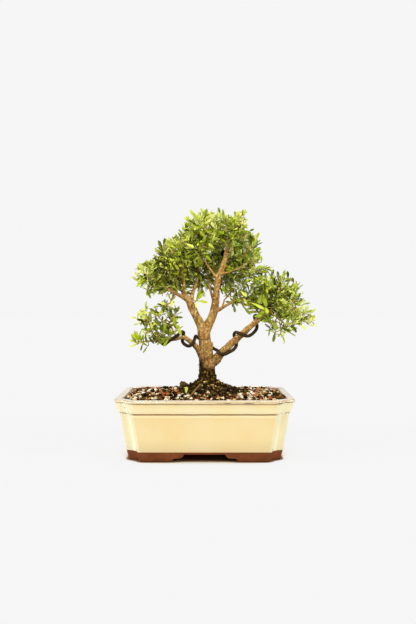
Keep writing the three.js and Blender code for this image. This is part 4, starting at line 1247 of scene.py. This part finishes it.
# Leaves that the eye picks out: foot and tip as the camera sees them, depth, width, tone and coolness. Each
# tone gives painted light and shade, how lit the leaf is, along with its own green
MARKED_LEAVES = [
    ("crown_left", [
        (-9.4, 278.1, -18.1, 289.5, -8, 4, 0.72, 0), (0.6, 281.8, 2.3, 291.3, -4, 3.4, 0.5, 0),
        (8.3, 272.8, 7.1, 285.3, -20, 4.4, 0.86, 0),
    ]),
    ("crown_top", [
        (18.0, 282.4, 15.7, 292.8, -6, 3.6, 0.42, 0.1),
    ]),
    ("crown_right", [
        (39.3, 278.1, 35.3, 288.0, -8, 3.6, 0.52, 0.1), (43.9, 280.0, 41.3, 289.8, -12, 2.8, 0.9, 0),
        (46.1, 280.9, 48.5, 290.8, -6, 3.6, 0.84, 0), (47.2, 274.7, 52.5, 279.3, -6, 2.6, 0.92, 0),
        (33.2, 270.4, 31.6, 281.8, -24, 3.6, 0.56, 0.35),
    ]),
    ("crown_left", [
        (-26.5, 264.4, -26.0, 270.9, -6, 2.2, 0.78, 0),
    ]),
    ("crown_outer", [
        (60.7, 253.0, 65.7, 262.7, -8, 3.4, 0.8, 0), (60.5, 249.4, 60.9, 260.8, -12, 2.6, 0.86, 0),
        (57.6, 244.6, 61.4, 253.6, -14, 3.2, 0.72, 0), (52.9, 263.8, 59.3, 266.3, -6, 3, 0.34, 0),
        (52.5, 243.2, 56.8, 231.4, -25, 3.6, 0.3, 0.9), (55.9, 247.0, 54.2, 255.4, -18, 3.2, 0.2, 0.5),
        (63.3, 226.5, 66.0, 237.0, -10, 3.8, 0.56, 0.1), (68.1, 227.1, 67.4, 234.3, -6, 2.8, 0.7, 0),
    ]),
    ("right_upper", [
        (59.5, 218.7, 69.1, 222.1, -14, 3.8, 0.58, 0.1),
    ]),
    ("upper_left_outer", [
        (-78.5, 202.7, -87.9, 209.6, -10, 3.4, 0.98, 0), (-74.0, 203.8, -84.6, 215.1, -14, 3.4, 0.92, 0),
        (-72.1, 213.2, -80.0, 226.4, -16, 4.6, 0.86, 0), (-74.2, 203.3, -82.6, 196.8, -8, 3.2, 0.74, 0),
        (-66.6, 219.9, -70.8, 230.0, -12, 3.2, 0.66, 0),
    ]),
    ("upper_left_top", [
        (-55.5, 237.0, -60.5, 244.4, -8, 3.2, 0.8, 0), (-51.9, 246.8, -56.4, 252.9, -8, 3.2, 0.3, 0),
        (-49.9, 247.1, -48.0, 256.0, -6, 3, 0.26, 0.2), (-45.0, 243.4, -42.0, 254.2, -16, 3.6, 0.7, 0),
        (-33.0, 256.0, -36.2, 260.5, -8, 3, 0.74, 0),
    ]),
    ("upper_left_inner", [
        (-34.8, 243.4, -44.4, 248.2, -22, 3.6, 0.74, 0), (-49.8, 232.5, -39.0, 228.9, -27, 3, 0.8, 0),
        (-23.4, 249.4, -13.1, 244.6, -27, 3.2, 0.84, 0), (-28.2, 253.0, -18.5, 253.8, -24, 2.8, 0.78, 0),
    ]),
    ("upper_left_low", [
        (-70.2, 194.1, -65.4, 183.2, -6, 3, 0.45, 0),
    ]),
    ("fork_sprout", [
        (-10.8, 180.0, -1.8, 189.1, -8, 4.6, 0.62, 0), (-8.9, 180.5, 3.5, 178.3, -10, 3.6, 0.7, 0),
        (-10.4, 180.3, -5.7, 192.7, -4, 4.2, 0.54, 0.1), (-10.7, 179.7, -10.5, 171.8, -12, 2.8, 0.92, 0),
    ]),
    ("lower_left_far", [
        (-71.6, 168.2, -70.1, 180.0, -8, 2.4, 0.72, 0),
    ]),
    ("lower_left_upper", [
        (-40.9, 181.4, -44.4, 189.8, -8, 3, 0.86, 0), (-40.8, 179.6, -35.0, 185.8, -8, 2.8, 0.9, 0),
        (-46.2, 177.2, -53.3, 174.2, -12, 3, 0.88, 0), (-39.0, 181.4, -40.3, 173.6, -16, 3.2, 0.82, 0),
    ]),
    ("lower_left_far", [
        (-79.0, 158.6, -89.8, 160.7, -8, 2.4, 0.96, 0), (-78.8, 153.1, -86.5, 151.1, -8, 2, 0.96, 0),
        (-68.4, 161.0, -80.0, 167.5, -14, 3.8, 0.88, 0), (-66.5, 165.1, -65.3, 154.5, -18, 3.8, 0.26, 0.2),
    ]),
    ("lower_left_upper", [
        (-54.3, 165.6, -62.2, 168.4, -16, 3.2, 0.3, 0), (-43.4, 174.2, -52.8, 170.0, -20, 3.2, 0.26, 0),
        (-46.8, 167.6, -37.2, 171.2, -20, 3.2, 0.3, 0), (-36.2, 160.5, -26.4, 160.3, -10, 2.8, 0.34, 0),
        (-37.7, 164.1, -31.2, 168.9, -10, 3, 0.24, 0),
    ]),
    ("lower_left_front", [
        (-51.1, 155.2, -49.0, 143.4, -20, 3.8, 0.22, 0.2), (-37.2, 155.6, -34.5, 146.8, -16, 3.4, 0.3, 0.1),
        (-31.7, 144.9, -31.4, 151.8, -18, 2.6, 0.8, 0), (-31.3, 146.3, -25.9, 150.4, -10, 1.8, 0.9, 0),
        (-57.9, 138.1, -67.7, 135.5, -20, 2.4, 0.24, 0), (-53.5, 135.5, -60.7, 132.1, -22, 2.8, 0.2, 0),
        (-67.5, 135.7, -61.2, 128.8, -18, 2.6, 0.2, 0),
    ]),
    ("lower_left_tip", [
        (-71.8, 140.3, -69.4, 129.7, -18, 3, 0.24, 0.1),
    ]),
    ("lower_left_front", [
        (-36.5, 143.0, -45.1, 140.8, -23, 3.2, 0.34, 0), (-48.5, 140.3, -54.7, 132.6, -23, 3.4, 0.28, 0),
        (-43.7, 136.9, -52.3, 134.1, -24, 3.2, 0.4, 0), (-41.5, 136.2, -49.2, 129.2, -22, 2.8, 0.26, 0),
    ]),
    ("lower_left_tip", [
        (-82.2, 130.2, -88.2, 139.8, -12, 4, 0.66, 0.1), (-80.0, 132.6, -81.9, 141.3, -14, 3.4, 0.7, 0),
        (-81.4, 130.0, -90.6, 132.9, -12, 3.4, 0.74, 0), (-80.5, 128.5, -90.1, 124.9, -12, 2.6, 0.76, 0),
        (-68.2, 126.8, -74.7, 117.5, -12, 1.9, 0.52, 0),
    ]),
    ("right_pad_inner", [
        (66.2, 214.7, 76.1, 215.8, -18, 2.2, 0.4, 0),
    ]),
    ("right_pad_top", [
        (75.8, 215.2, 82.6, 204.3, -20, 2.8, 0.36, 0.3), (88.3, 204.3, 87.1, 216.1, -16, 3.6, 0.34, 0.9),
        (100.1, 207.2, 98.9, 216.1, -12, 3.6, 0.24, 0.6), (106.9, 202.5, 104.7, 208.4, -12, 3, 0.3, 0.1),
        (83.1, 192.7, 79.5, 205.0, -27, 3.8, 0.6, 0.5),
    ]),
    ("right_pad_inner", [
        (69.1, 190.3, 64.3, 177.3, -22, 4.8, 0.5, 0.15), (69.6, 190.1, 73.7, 173.5, -23, 4.8, 0.54, 0.15),
        (55.2, 178.5, 72.0, 170.1, -23, 3.6, 0.74, 0), (73.0, 172.5, 75.4, 165.1, -26, 4.6, 0.68, 0),
    ]),
    ("right_pad_low", [
        (59.0, 161.5, 68.6, 162.4, -24, 5, 0.5, 0.1), (85.5, 156.7, 84.3, 144.2, -24, 4.2, 0.5, 0.2),
        (84.3, 143.0, 81.9, 130.9, -20, 3.8, 0.32, 0.2), (77.8, 149.4, 76.3, 137.7, -18, 2, 0.5, 0),
        (105.2, 151.4, 109.8, 142.0, -16, 3.4, 0.26, 0.3), (93.4, 138.4, 95.6, 131.2, -16, 2.4, 0.66, 0),
        (91.5, 139.8, 87.6, 137.2, -16, 2.4, 0.62, 0),
    ]),
    ("right_pad_tip", [
        (118.4, 165.3, 124.7, 174.9, -16, 4.2, 0.96, 0), (125.6, 164.4, 134.5, 170.6, -12, 3, 1, 0),
        (123.9, 152.3, 128.3, 160.5, -16, 3.6, 1.02, 0), (124.4, 151.4, 135.0, 149.9, -10, 2.6, 1.02, 0),
        (113.6, 152.1, 121.1, 145.8, -14, 3.6, 0.86, 0),
    ]),
    ("right_pad_outer", [
        (109.5, 167.0, 118.4, 174.2, -20, 3.8, 0.9, 0), (102.3, 181.4, 107.7, 191.0, -24, 3.4, 0.84, 0),
        (111.2, 180.7, 115.3, 190.1, -16, 3, 0.4, 0),
    ]),
    ("right_pad_inner", [
        (45.8, 174.2, 54.7, 163.9, -18, 3.6, 0.4, 0.2),
    ]),
    ("right_lower", [
        (34.7, 175.7, 36.4, 166.5, -16, 3.4, 0.3, 0.2),
    ]),
    ("right_pad_inner", [
        (42.9, 192.3, 50.4, 185.3, -18, 3.4, 0.84, 0), (51.6, 174.7, 46.5, 182.6, -20, 3, 0.74, 0),
    ]),
    ("crown_middle", [
        (32.1, 238.4, 27.3, 231.4, -22, 3.6, 0.26, 0.5), (8.5, 227.1, 1.1, 234.8, -24, 3.4, 0.5, 0),
        (11.6, 243.2, 3.7, 249.0, -26, 3.4, 0.72, 0),
    ]),
    ("crown_left", [
        (1.3, 255.4, -5.7, 263.8, -26, 4, 0.62, 0), (-3.5, 246.4, 0.3, 257.7, -27, 4.2, 0.46, 0.1),
        (-15.1, 252.4, -15.5, 264.4, -24, 3.8, 0.48, 0.2),
    ]),
    ("lower_left_far", [
        (-54.0, 174.2, -62.2, 171.8, -16, 3, 0.44, 0),
    ]),
    ("lower_left_upper", [
        (-50.4, 174.7, -57.6, 176.4, -14, 2.8, 0.34, 0), (-49.2, 171.1, -55.7, 163.9, -20, 3, 0.58, 0),
        (-50.4, 166.5, -49.7, 175.4, -18, 3.4, 0.16, 0), (-54.0, 161.7, -59.8, 165.3, -20, 3, 0.5, 0),
        (-46.3, 176.1, -54.0, 178.5, -16, 3.2, 0.86, 0), (-41.5, 177.3, -36.0, 179.5, -10, 2.4, 0.7, 0),
        (-41.3, 171.8, -40.3, 162.2, -19, 3.4, 0.2, 0), (-39.3, 172.5, -34.3, 165.3, -16, 3, 0.26, 0),
        (-40.8, 159.3, -45.6, 167.0, -20, 3, 0.44, 0), (-37.9, 163.4, -36.2, 155.0, -18, 3, 0.5, 0),
        (-34.1, 147.3, -37.7, 157.4, -20, 4, 0.5, 0),
    ]),
    ("lower_left_front", [
        (-27.8, 137.9, -31.9, 147.5, -23, 4, 0.74, 0), (-30.4, 143.7, -34.5, 152.1, -20, 3.2, 0.62, 0),
    ]),
    ("lower_left_far", [
        (-65.3, 166.5, -66.0, 156.2, -20, 4.2, 0.38, 0),
    ]),
    ("lower_left_front", [
        (-59.5, 162.9, -58.1, 154.3, -20, 3.4, 0.2, 0), (-57.6, 158.6, -54.0, 149.7, -22, 3.4, 0.24, 0),
        (-61.5, 153.3, -56.9, 144.6, -20, 3.4, 0.3, 0),
    ]),
    ("lower_left_far", [
        (-65.6, 155.5, -63.9, 147.0, -22, 3, 0.7, 0), (-68.9, 157.4, -72.8, 149.2, -20, 3.6, 0.28, 0),
    ]),
    ("lower_left_tip", [
        (-72.8, 155.5, -77.6, 150.9, -16, 3, 0.36, 0),
    ]),
    ("lower_left_far", [
        (-69.4, 160.3, -76.6, 159.3, -18, 2.6, 0.74, 0), (-81.4, 158.1, -78.1, 168.4, -10, 3.4, 0.82, 0),
        (-74.5, 167.7, -67.7, 164.8, -16, 3, 0.8, 0), (-77.8, 168.2, -71.3, 170.8, -12, 3, 0.84, 0),
    ]),
    ("lower_left_front", [
        (-62.9, 147.0, -70.1, 145.6, -18, 2.8, 0.5, 0),
    ]),
    ("lower_left_tip", [
        (-66.0, 144.2, -73.5, 148.0, -16, 2.8, 0.44, 0), (-69.6, 144.6, -76.6, 146.3, -14, 2.2, 0.6, 0),
        (-76.1, 146.1, -78.3, 137.7, -12, 2.6, 0.6, 0),
    ]),
    ("lower_left_front", [
        (-57.1, 143.7, -63.6, 148.7, -20, 3, 0.3, 0), (-54.0, 141.3, -61.2, 142.2, -20, 2.8, 0.26, 0),
        (-49.7, 140.1, -47.3, 154.3, -22, 4, 0.48, 0), (-52.8, 141.3, -52.3, 152.3, -19, 3.4, 0.28, 0),
    ]),
    ("lower_left_tip", [
        (-78.5, 131.6, -87.7, 140.3, -15, 4.6, 0.6, 0), (-75.9, 130.9, -78.5, 139.6, -16, 3.2, 0.5, 0),
        (-74.0, 130.9, -74.2, 140.3, -18, 2.8, 0.46, 0), (-68.9, 126.1, -75.9, 129.7, -18, 2.8, 0.42, 0),
    ]),
    ("lower_left_front", [
        (-53.3, 131.6, -57.6, 126.8, -22, 2.4, 0.46, 0), (-43.4, 135.3, -49.9, 125.6, -24, 3.2, 0.5, 0),
        (-44.4, 136.5, -54.7, 128.8, -25, 3.6, 0.3, 0), (-45.6, 137.7, -57.1, 134.1, -24, 3.2, 0.24, 0),
        (-41.5, 139.3, -49.9, 143.7, -24, 3.4, 0.3, 0), (-43.2, 137.4, -46.6, 146.6, -25, 3.6, 0.24, 0),
        (-40.8, 138.6, -34.1, 143.7, -22, 2.8, 0.4, 0), (-46.3, 135.7, -52.8, 138.9, -25, 3.2, 0.2, 0),
        (-58.1, 134.1, -64.4, 139.6, -22, 2.6, 0.26, 0),
    ]),
    ("right_pad_inner", [
        (68.6, 160.3, 76.3, 154.5, -26, 3.8, 0.3, 0), (73.4, 155.7, 81.1, 161.2, -26, 3.4, 0.34, 0),
        (79.0, 154.5, 69.6, 162.7, -26, 3.6, 0.24, 0), (65.0, 156.4, 71.5, 162.2, -24, 3.4, 0.22, 0),
        (64.5, 164.1, 71.8, 167.7, -24, 3.4, 0.52, 0),
    ]),
    ("right_pad_low", [
        (75.8, 156.9, 67.9, 155.2, -26, 3, 0.5, 0), (80.7, 152.6, 73.9, 157.9, -26, 3.2, 0.36, 0),
    ]),
]
# Buds that the eye picks out: across and up as the camera sees them, and depth
MARKED_BUDS = [
    (-17.9, 228.3, -29), (-20.3, 222.7, -29), (-19.4, 218.7, -28), (-46.1, 216.3, -28), (-52.8, 224.1, -27),
    (-18.5, 266.8, -22), (5.5, 261.4, -27), (73.2, 193.1, -26), (98.0, 178.1, -29), (98.7, 167.6, -28),
    (117.4, 190.1, -14), (89.7, 193.9, -28), (48.2, 256.2, -24), (39.2, 279.4, -10), (-61.8, 234.8, -10),
    (95.1, 131.5, -16), (93.3, 139.3, -16),
]

MARKED_MIDDLES = [
    ((foot_x + tip_x) / 2, (foot_z + tip_z) / 2, depth)
    for _, leaves in MARKED_LEAVES
    for foot_x, foot_z, tip_x, tip_z, depth, *_ in leaves
]
CLEAR_REACH = 8  # no shoot stands this near in front of a marked leaf's middle, as the camera sees it
CLEAR_DEPTH = 5


def hides_marked_leaf(where):
    seen = seen_from_front(where)
    return any(
        where.y < (depth + CLEAR_DEPTH) * MM and math.dist(seen, (x, z)) < CLEAR_REACH
        for x, z, depth in MARKED_MIDDLES
    )


def keeps_to_outline(where, outline):
    seen = seen_from_front(where)
    clear = all(math.dist(seen, (x, z)) > radius for x, z, radius in OPEN_PATCHES)
    return clear and inside_outline(*seen, outline)


def fits(where, heading, reach, outline):
    """Whether a shoot's leaves, along and beside its heading, keep to the outline."""
    beside = Vector((heading.z, 0, -heading.x)) * 9 * MM
    tip = where + heading * reach * MM
    return all(keeps_to_outline(spot, outline) for spot in (tip, where + beside, where - beside))


# a leaf's tone where the camera sees it, with painted light and shade
def leaf_tone_with_painted_light(where):
    x, z = seen_from_front(where)
    tone = MIDDLE_TONE
    for middle_x, middle_z, reach_x, reach_z, amount in LEAF_TONE_AND_PAINTED_LIGHT:
        tone += amount * math.exp(-(((x - middle_x) / reach_x) ** 2) - ((z - middle_z) / reach_z) ** 2)
    return tone


def is_low_left(pad):
    return pad.startswith("lower_left")


# Rounds of drawing shoots: how far out in the pad as a share of its size, and tries for a pad of 20 mm
ROUNDS = ((0.9, 300), (1.12, 200), (0.5, 60))


def shoot_places(rng):
    """Where the shoots stand: the pad, the middle of the shoot, its heading, and whether it is deep in."""
    taken = []
    places = []
    for ring, tries in ROUNDS:
        for name, (middle, half_sizes, gap) in LEAF_PADS.items():
            outline, leaf_reach = (LOW_LEFT_OUTLINE, 13) if is_low_left(name) else (CROWN_OUTLINE, 16.5)
            centre = place(*middle)
            size = sum(half_sizes) / 60
            for _ in range(int(tries * size * size)):
                rise = rng.uniform(-1, 1)
                turn = rng.uniform(0, 2 * math.pi)
                flat = math.sqrt(1 - rise * rise)
                direction = Vector((flat * math.cos(turn), flat * math.sin(turn), rise))
                reach = ring * rng.uniform(0.82, 1.0)
                where = centre + Vector([d * h * reach * MM for d, h in zip(direction, half_sizes)])
                outward = Vector((where.x - POT_MIDDLE_X, where.y, 0)).normalized()
                stray = Vector([rng.uniform(-0.4, 0.4) for _ in range(3)])
                heading = (direction * 0.8 + Vector((0, 0, 0.5)) + outward * 0.35 + stray).normalized()
                if any((where - other).length < gap * MM for other in taken):
                    continue
                if not fits(where, heading, leaf_reach, outline) or hides_marked_leaf(where):
                    continue
                taken.append(where)
                places.append((name, where, heading, ring < 0.6))
    return places


# shoots deep inside the pads get this dark tone: painted shade inside the foliage
DEEP_PAINTED_SHADE = 0.2


def make_foliage(wood_tree):
    rng = random.Random(11)
    blades = [leaf_blade(*blade) for blade in BLADES]
    shoots = [make_shoot(blades, rng, *shoot) for shoot in SHOOTS]
    bases = []
    bud_spots = [from_front(*bud) for bud in MARKED_BUDS]
    by_pad = {name: [] for name in LEAF_PADS}

    def set_leaf(pad, foot_x, foot_z, tip_x, tip_z, depth, width, tone, coolness):
        _, plain_length, plain_width, _, _ = BLADES[0]
        start, end = from_front(foot_x, foot_z, depth), from_front(tip_x, tip_z, depth - 3)
        along = (end - start).normalized()
        facing = Vector((rng.uniform(-0.4, 0.4), -1, rng.uniform(0.1, 0.6)))
        across = along.cross(facing).normalized()
        turn = Matrix((across, along, across.cross(along))).transposed().to_4x4()
        size = Matrix.Diagonal((width / plain_width, (end - start).length / (plain_length * MM), 1, 1))
        leaf = copy_of(blades[0], Matrix.Translation(start) @ turn @ size)
        fill_attribute(leaf, "tone", tone)
        fill_attribute(leaf, "cool", coolness)
        by_pad[pad].append(leaf)
        bases.append(start)

    def set_shoot(pad, base, heading, which, scale, tone, coolness):
        turn = upright(heading) @ Matrix.Rotation(rng.uniform(0, 6.283), 4, "Z")
        shoot = copy_of(shoots[which], Matrix.Translation(base) @ turn @ even(scale))
        shift_attribute(shoot, "tone", tone)
        fill_attribute(shoot, "cool", coolness)
        by_pad[pad].append(shoot)
        bases.append(base)

    for pad, leaves in MARKED_LEAVES:
        for leaf in leaves:
            set_leaf(pad, *leaf)
    for pad, where, heading, deep in shoot_places(rng):
        which = rng.randrange(len(shoots))
        scale = rng.uniform(0.85, 1.08) * (0.85 if is_low_left(pad) else 1)
        length = SHOOTS[which][1] * scale * MM
        base = where - heading * length * 0.5
        tone = leaf_tone_with_painted_light(where) + rng.uniform(-0.17, 0.17)
        # painted shade for the shoots deep inside a pad
        if deep:
            tone = DEEP_PAINTED_SHADE + rng.uniform(-0.08, 0.08)
        cool = rng.random() < 0.2 and 0.3 < tone < 0.62 and where.x > POT_MIDDLE_X + 20 * MM
        set_shoot(pad, base, heading, which, scale, tone, rng.uniform(0.2, 0.7) if cool else 0.0)
        if not deep and where.y < 12 * MM and rng.random() < 0.22:
            bud_spots.append(base + heading * length * 0.9)
    finish = leaf_finish()
    for pad, pad_leaves in by_pad.items():
        hand_in(join(pad_leaves, "leaves"), "leaf_pad_" + pad, finish, ["leaves_" + pad])
    make_buds(bud_spots, rng)
    make_twigs(wood_tree, bases, rng)
    make_shed_leaf(blades[1], finish)
    remove(*blades, *shoots)


BUD_TANS = [(0.1, (0.42, 0.29, 0.09)), (0.45, (0.66, 0.53, 0.23)), (0.9, (0.88, 0.80, 0.48))]


def make_buds(spots, rng):
    """Tan buds and seed heads, two to four together, among the leaves on the front and at the sides."""
    bpy.ops.object.select_all(action="DESELECT")
    bpy.ops.mesh.primitive_ico_sphere_add(subdivisions=2, radius=1.0 * MM)
    bud = bpy.context.object
    edit_whole(bud)
    bpy.ops.transform.vertex_random(offset=0.16 * MM, uniform=1, normal=0, seed=4)
    bpy.ops.object.mode_set(mode="OBJECT")
    smooth(bud)
    bud.data.attributes.new("shade", "FLOAT", "POINT")
    buds = []
    for spot in spots:
        for _ in range(rng.randint(2, 4)):
            where = spot + Vector([rng.uniform(-1.7, 1.7) * MM for _ in range(3)])
            turn = Matrix.Rotation(rng.uniform(0, 6.28), 4, "Z")
            lean = Matrix.Rotation(rng.uniform(-0.6, 0.6), 4, "X")
            size = rng.uniform(0.6, 1.05)
            long = Matrix.Diagonal((size, size, size * 1.4, 1))
            one = copy_of(bud, Matrix.Translation(where) @ turn @ lean @ long)
            fill_attribute(one, "shade", rng.random())
            buds.append(one)
    hand_in(join(buds, "buds"), "leaf_buds", grain_finish("tan_bud", BUD_TANS, 500))
    remove(bud)


def make_twigs(wood_tree, bases, rng):
    """Each shoot hangs on the nearest wood or twig that is already there, from the wood outwards."""
    joints = []
    parents = []
    for base in sorted(bases, key=lambda base: wood_tree.find_nearest(base)[3]):
        on_wood, _, _, gap = wood_tree.find_nearest(base)
        best, best_gap = None, gap * 0.92
        for index, joint in enumerate(joints):
            away = (joint - base).length
            if away < best_gap:
                best, best_gap = index, away
        parents.append((best, on_wood if best is None else joints[best]))
        joints.append(base)
    load = [1] * len(joints)
    for index in range(len(joints) - 1, -1, -1):
        if parents[index][0] is not None:
            load[parents[index][0]] += load[index]
    paths = []
    for (_, start), end, carried in zip(parents, joints, load):
        thick = min(0.42 + 0.13 * math.sqrt(carried), 1.0) * MM
        span = (end - start).length
        knee = start.lerp(end, 0.5) + Vector([rng.uniform(-0.09, 0.09) for _ in range(3)]) * span
        knee.z -= 0.05 * span
        to_knee, from_knee = start.lerp(knee, 0.6), knee.lerp(end, 0.5)
        places = (start, to_knee, knee, from_knee, end)
        paths.append([(where, thick * share) for where, share in zip(places, (1.15, 1, 1, 0.92, 0.85))])
    twigs = tubes(paths, "twigs", sides=1)
    smooth(twigs)
    dark, light = (0.20, 0.13, 0.025), (0.50, 0.36, 0.10)
    finish = plain_finish("young_twig_bark", dark, light, 900, 0.75, 0.15, gloss=0.15)
    hand_in(twigs, "leaf_twigs", finish)


SHED_LEAF_FOOT = (-22, -26.5, 71.6)


def make_shed_leaf(blade, finish):
    turn = Matrix.Rotation(math.radians(-12), 4, "Z") @ Matrix.Rotation(math.radians(62), 4, "X")
    size = Matrix.Diagonal((0.85, 0.72, 0.85, 1))
    leaf = copy_of(blade, Matrix.Translation(place(*SHED_LEAF_FOOT)) @ turn @ size)
    fill_attribute(leaf, "tone", 0.56)
    fill_attribute(leaf, "under", 1.0)
    settle(leaf)
    hand_in(leaf, "standing_shed_leaf", finish, ["shed_leaf"])


def finish_screens_and_clips():
    """The drain screens and their clips are shown as they are in the CAD."""
    plastic = plain_finish("black_plastic_mesh", (0.012, 0.015, 0.014), (0.05, 0.055, 0.052), 500, 0.55, 0.1)
    metal = plain_finish("bare_aluminium_clip", (0.55, 0.55, 0.57), (0.78, 0.78, 0.8), 700, 0.38, 0.06, 1.0)
    for side in ("left", "right"):
        for node, finish in (("drain_screen_" + side, plastic), ("screen_clip_" + side, metal)):
            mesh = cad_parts[node].data
            mesh.materials.clear()
            mesh.materials.append(finish)


# The stage: a white floor and backdrop, four suns, and the view from the front

AIR_LIGHT = 0.55  # what the white surroundings throw on the tree
BACKDROP = 0.918
FLOOR_GLOW = 0.868
# Suns: name, lean and turn in degrees, strength, and width in degrees, which softens the shadows
SUNS = [
    ("front_light", 42, -12, 1.75, 8),
    ("right_light", 68, 62, 2.15, 16),
    ("left_light", 68, -68, 2.25, 16),
    ("top_light", 14, 150, 1.1, 20),
]
SENSOR_HEIGHT = 36


def make_floor():
    """A floor that glows as white as the backdrop, apart from a shadow under the pot and at its feet."""
    bpy.ops.object.select_all(action="DESELECT")
    bpy.ops.mesh.primitive_plane_add(size=40, location=(0, 0, 0))
    floor = bpy.context.object
    floor.name = "studio_floor"
    f = Finish("pale_floor")
    openness = f.add("AmbientOcclusion", {"Distance": 60 * MM}, samples=16).outputs["AO"]
    clear_of_feet = f.add("AmbientOcclusion", {"Distance": 6 * MM}, samples=16).outputs["AO"]
    lit = f.times(f.spread(openness, 0.33, 0.45), f.spread(clear_of_feet, 0.64, 0.86))
    # the glow turns warm towards the pot's feet and the floor's colour turns brown under the pot: painted
    # light thrown back from the clay
    glow_and_painted_bounce = [(0.38, (0.75, 0.55, 0.3)), (0.46, (1, 0.98, 0.82)), (0.54, (1, 1, 1))]
    f.surface(Base_Color=f.ramp(lit, [(0.2, (0.20, 0.12, 0.065)), (0.8, (0.03, 0.03, 0.03))]), Roughness=1.0)
    f.surface(Emission_Color=f.ramp(openness, glow_and_painted_bounce), Emission_Strength=f.times(lit, FLOOR_GLOW))
    f.surface(Specular_IOR_Level=0)
    floor.data.materials.append(f.material)


def make_air():
    """Air that lights the tree by one amount, and is seen behind it by another."""
    world = bpy.data.worlds.new("studio_air")
    bpy.context.scene.world = world
    world.use_nodes = True
    nodes, links = world.node_tree.nodes, world.node_tree.links
    air = nodes["Background"]
    air.inputs["Color"].default_value = (AIR_LIGHT, AIR_LIGHT, AIR_LIGHT, 1)
    backdrop = nodes.new("ShaderNodeBackground")
    backdrop.inputs["Color"].default_value = (BACKDROP, BACKDROP, BACKDROP, 1)
    either = nodes.new("ShaderNodeMixShader")
    links.new(nodes.new("ShaderNodeLightPath").outputs["Is Camera Ray"], either.inputs[0])
    links.new(air.outputs[0], either.inputs[1])
    links.new(backdrop.outputs[0], either.inputs[2])
    links.new(either.outputs[0], nodes["World Output"].inputs["Surface"])


def make_suns():
    for name, lean, turn, strength, width in SUNS:
        light = bpy.data.lights.new(name, "SUN")
        light.energy = strength
        light.angle = math.radians(width)
        holder = bpy.data.objects.new(name, light)
        holder.rotation_euler = (math.radians(lean), 0, math.radians(turn))
        bpy.context.collection.objects.link(holder)


def make_camera():
    view = bpy.data.cameras.new("studio_camera")
    view.sensor_fit = "VERTICAL"
    view.sensor_height = SENSOR_HEIGHT
    view.lens = FOCUS * SENSOR_HEIGHT / PICTURE_HEIGHT
    view.clip_end = 100
    camera = bpy.data.objects.new("studio_camera", view)
    camera.location = place(*EYE)
    camera.rotation_euler = (math.pi / 2, 0, 0)
    bpy.context.collection.objects.link(camera)
    bpy.context.scene.camera = camera
    bpy.context.scene.view_settings.view_transform = "Standard"


make_floor()
make_air()
make_suns()
make_camera()
make_pot()
wood_tree = tree_of(make_wood().data)
make_training_wire()
make_soil_bed()
scatter_granules(wood_tree)
make_moss(wood_tree)
make_chip()
make_foliage(wood_tree)
finish_screens_and_clips()
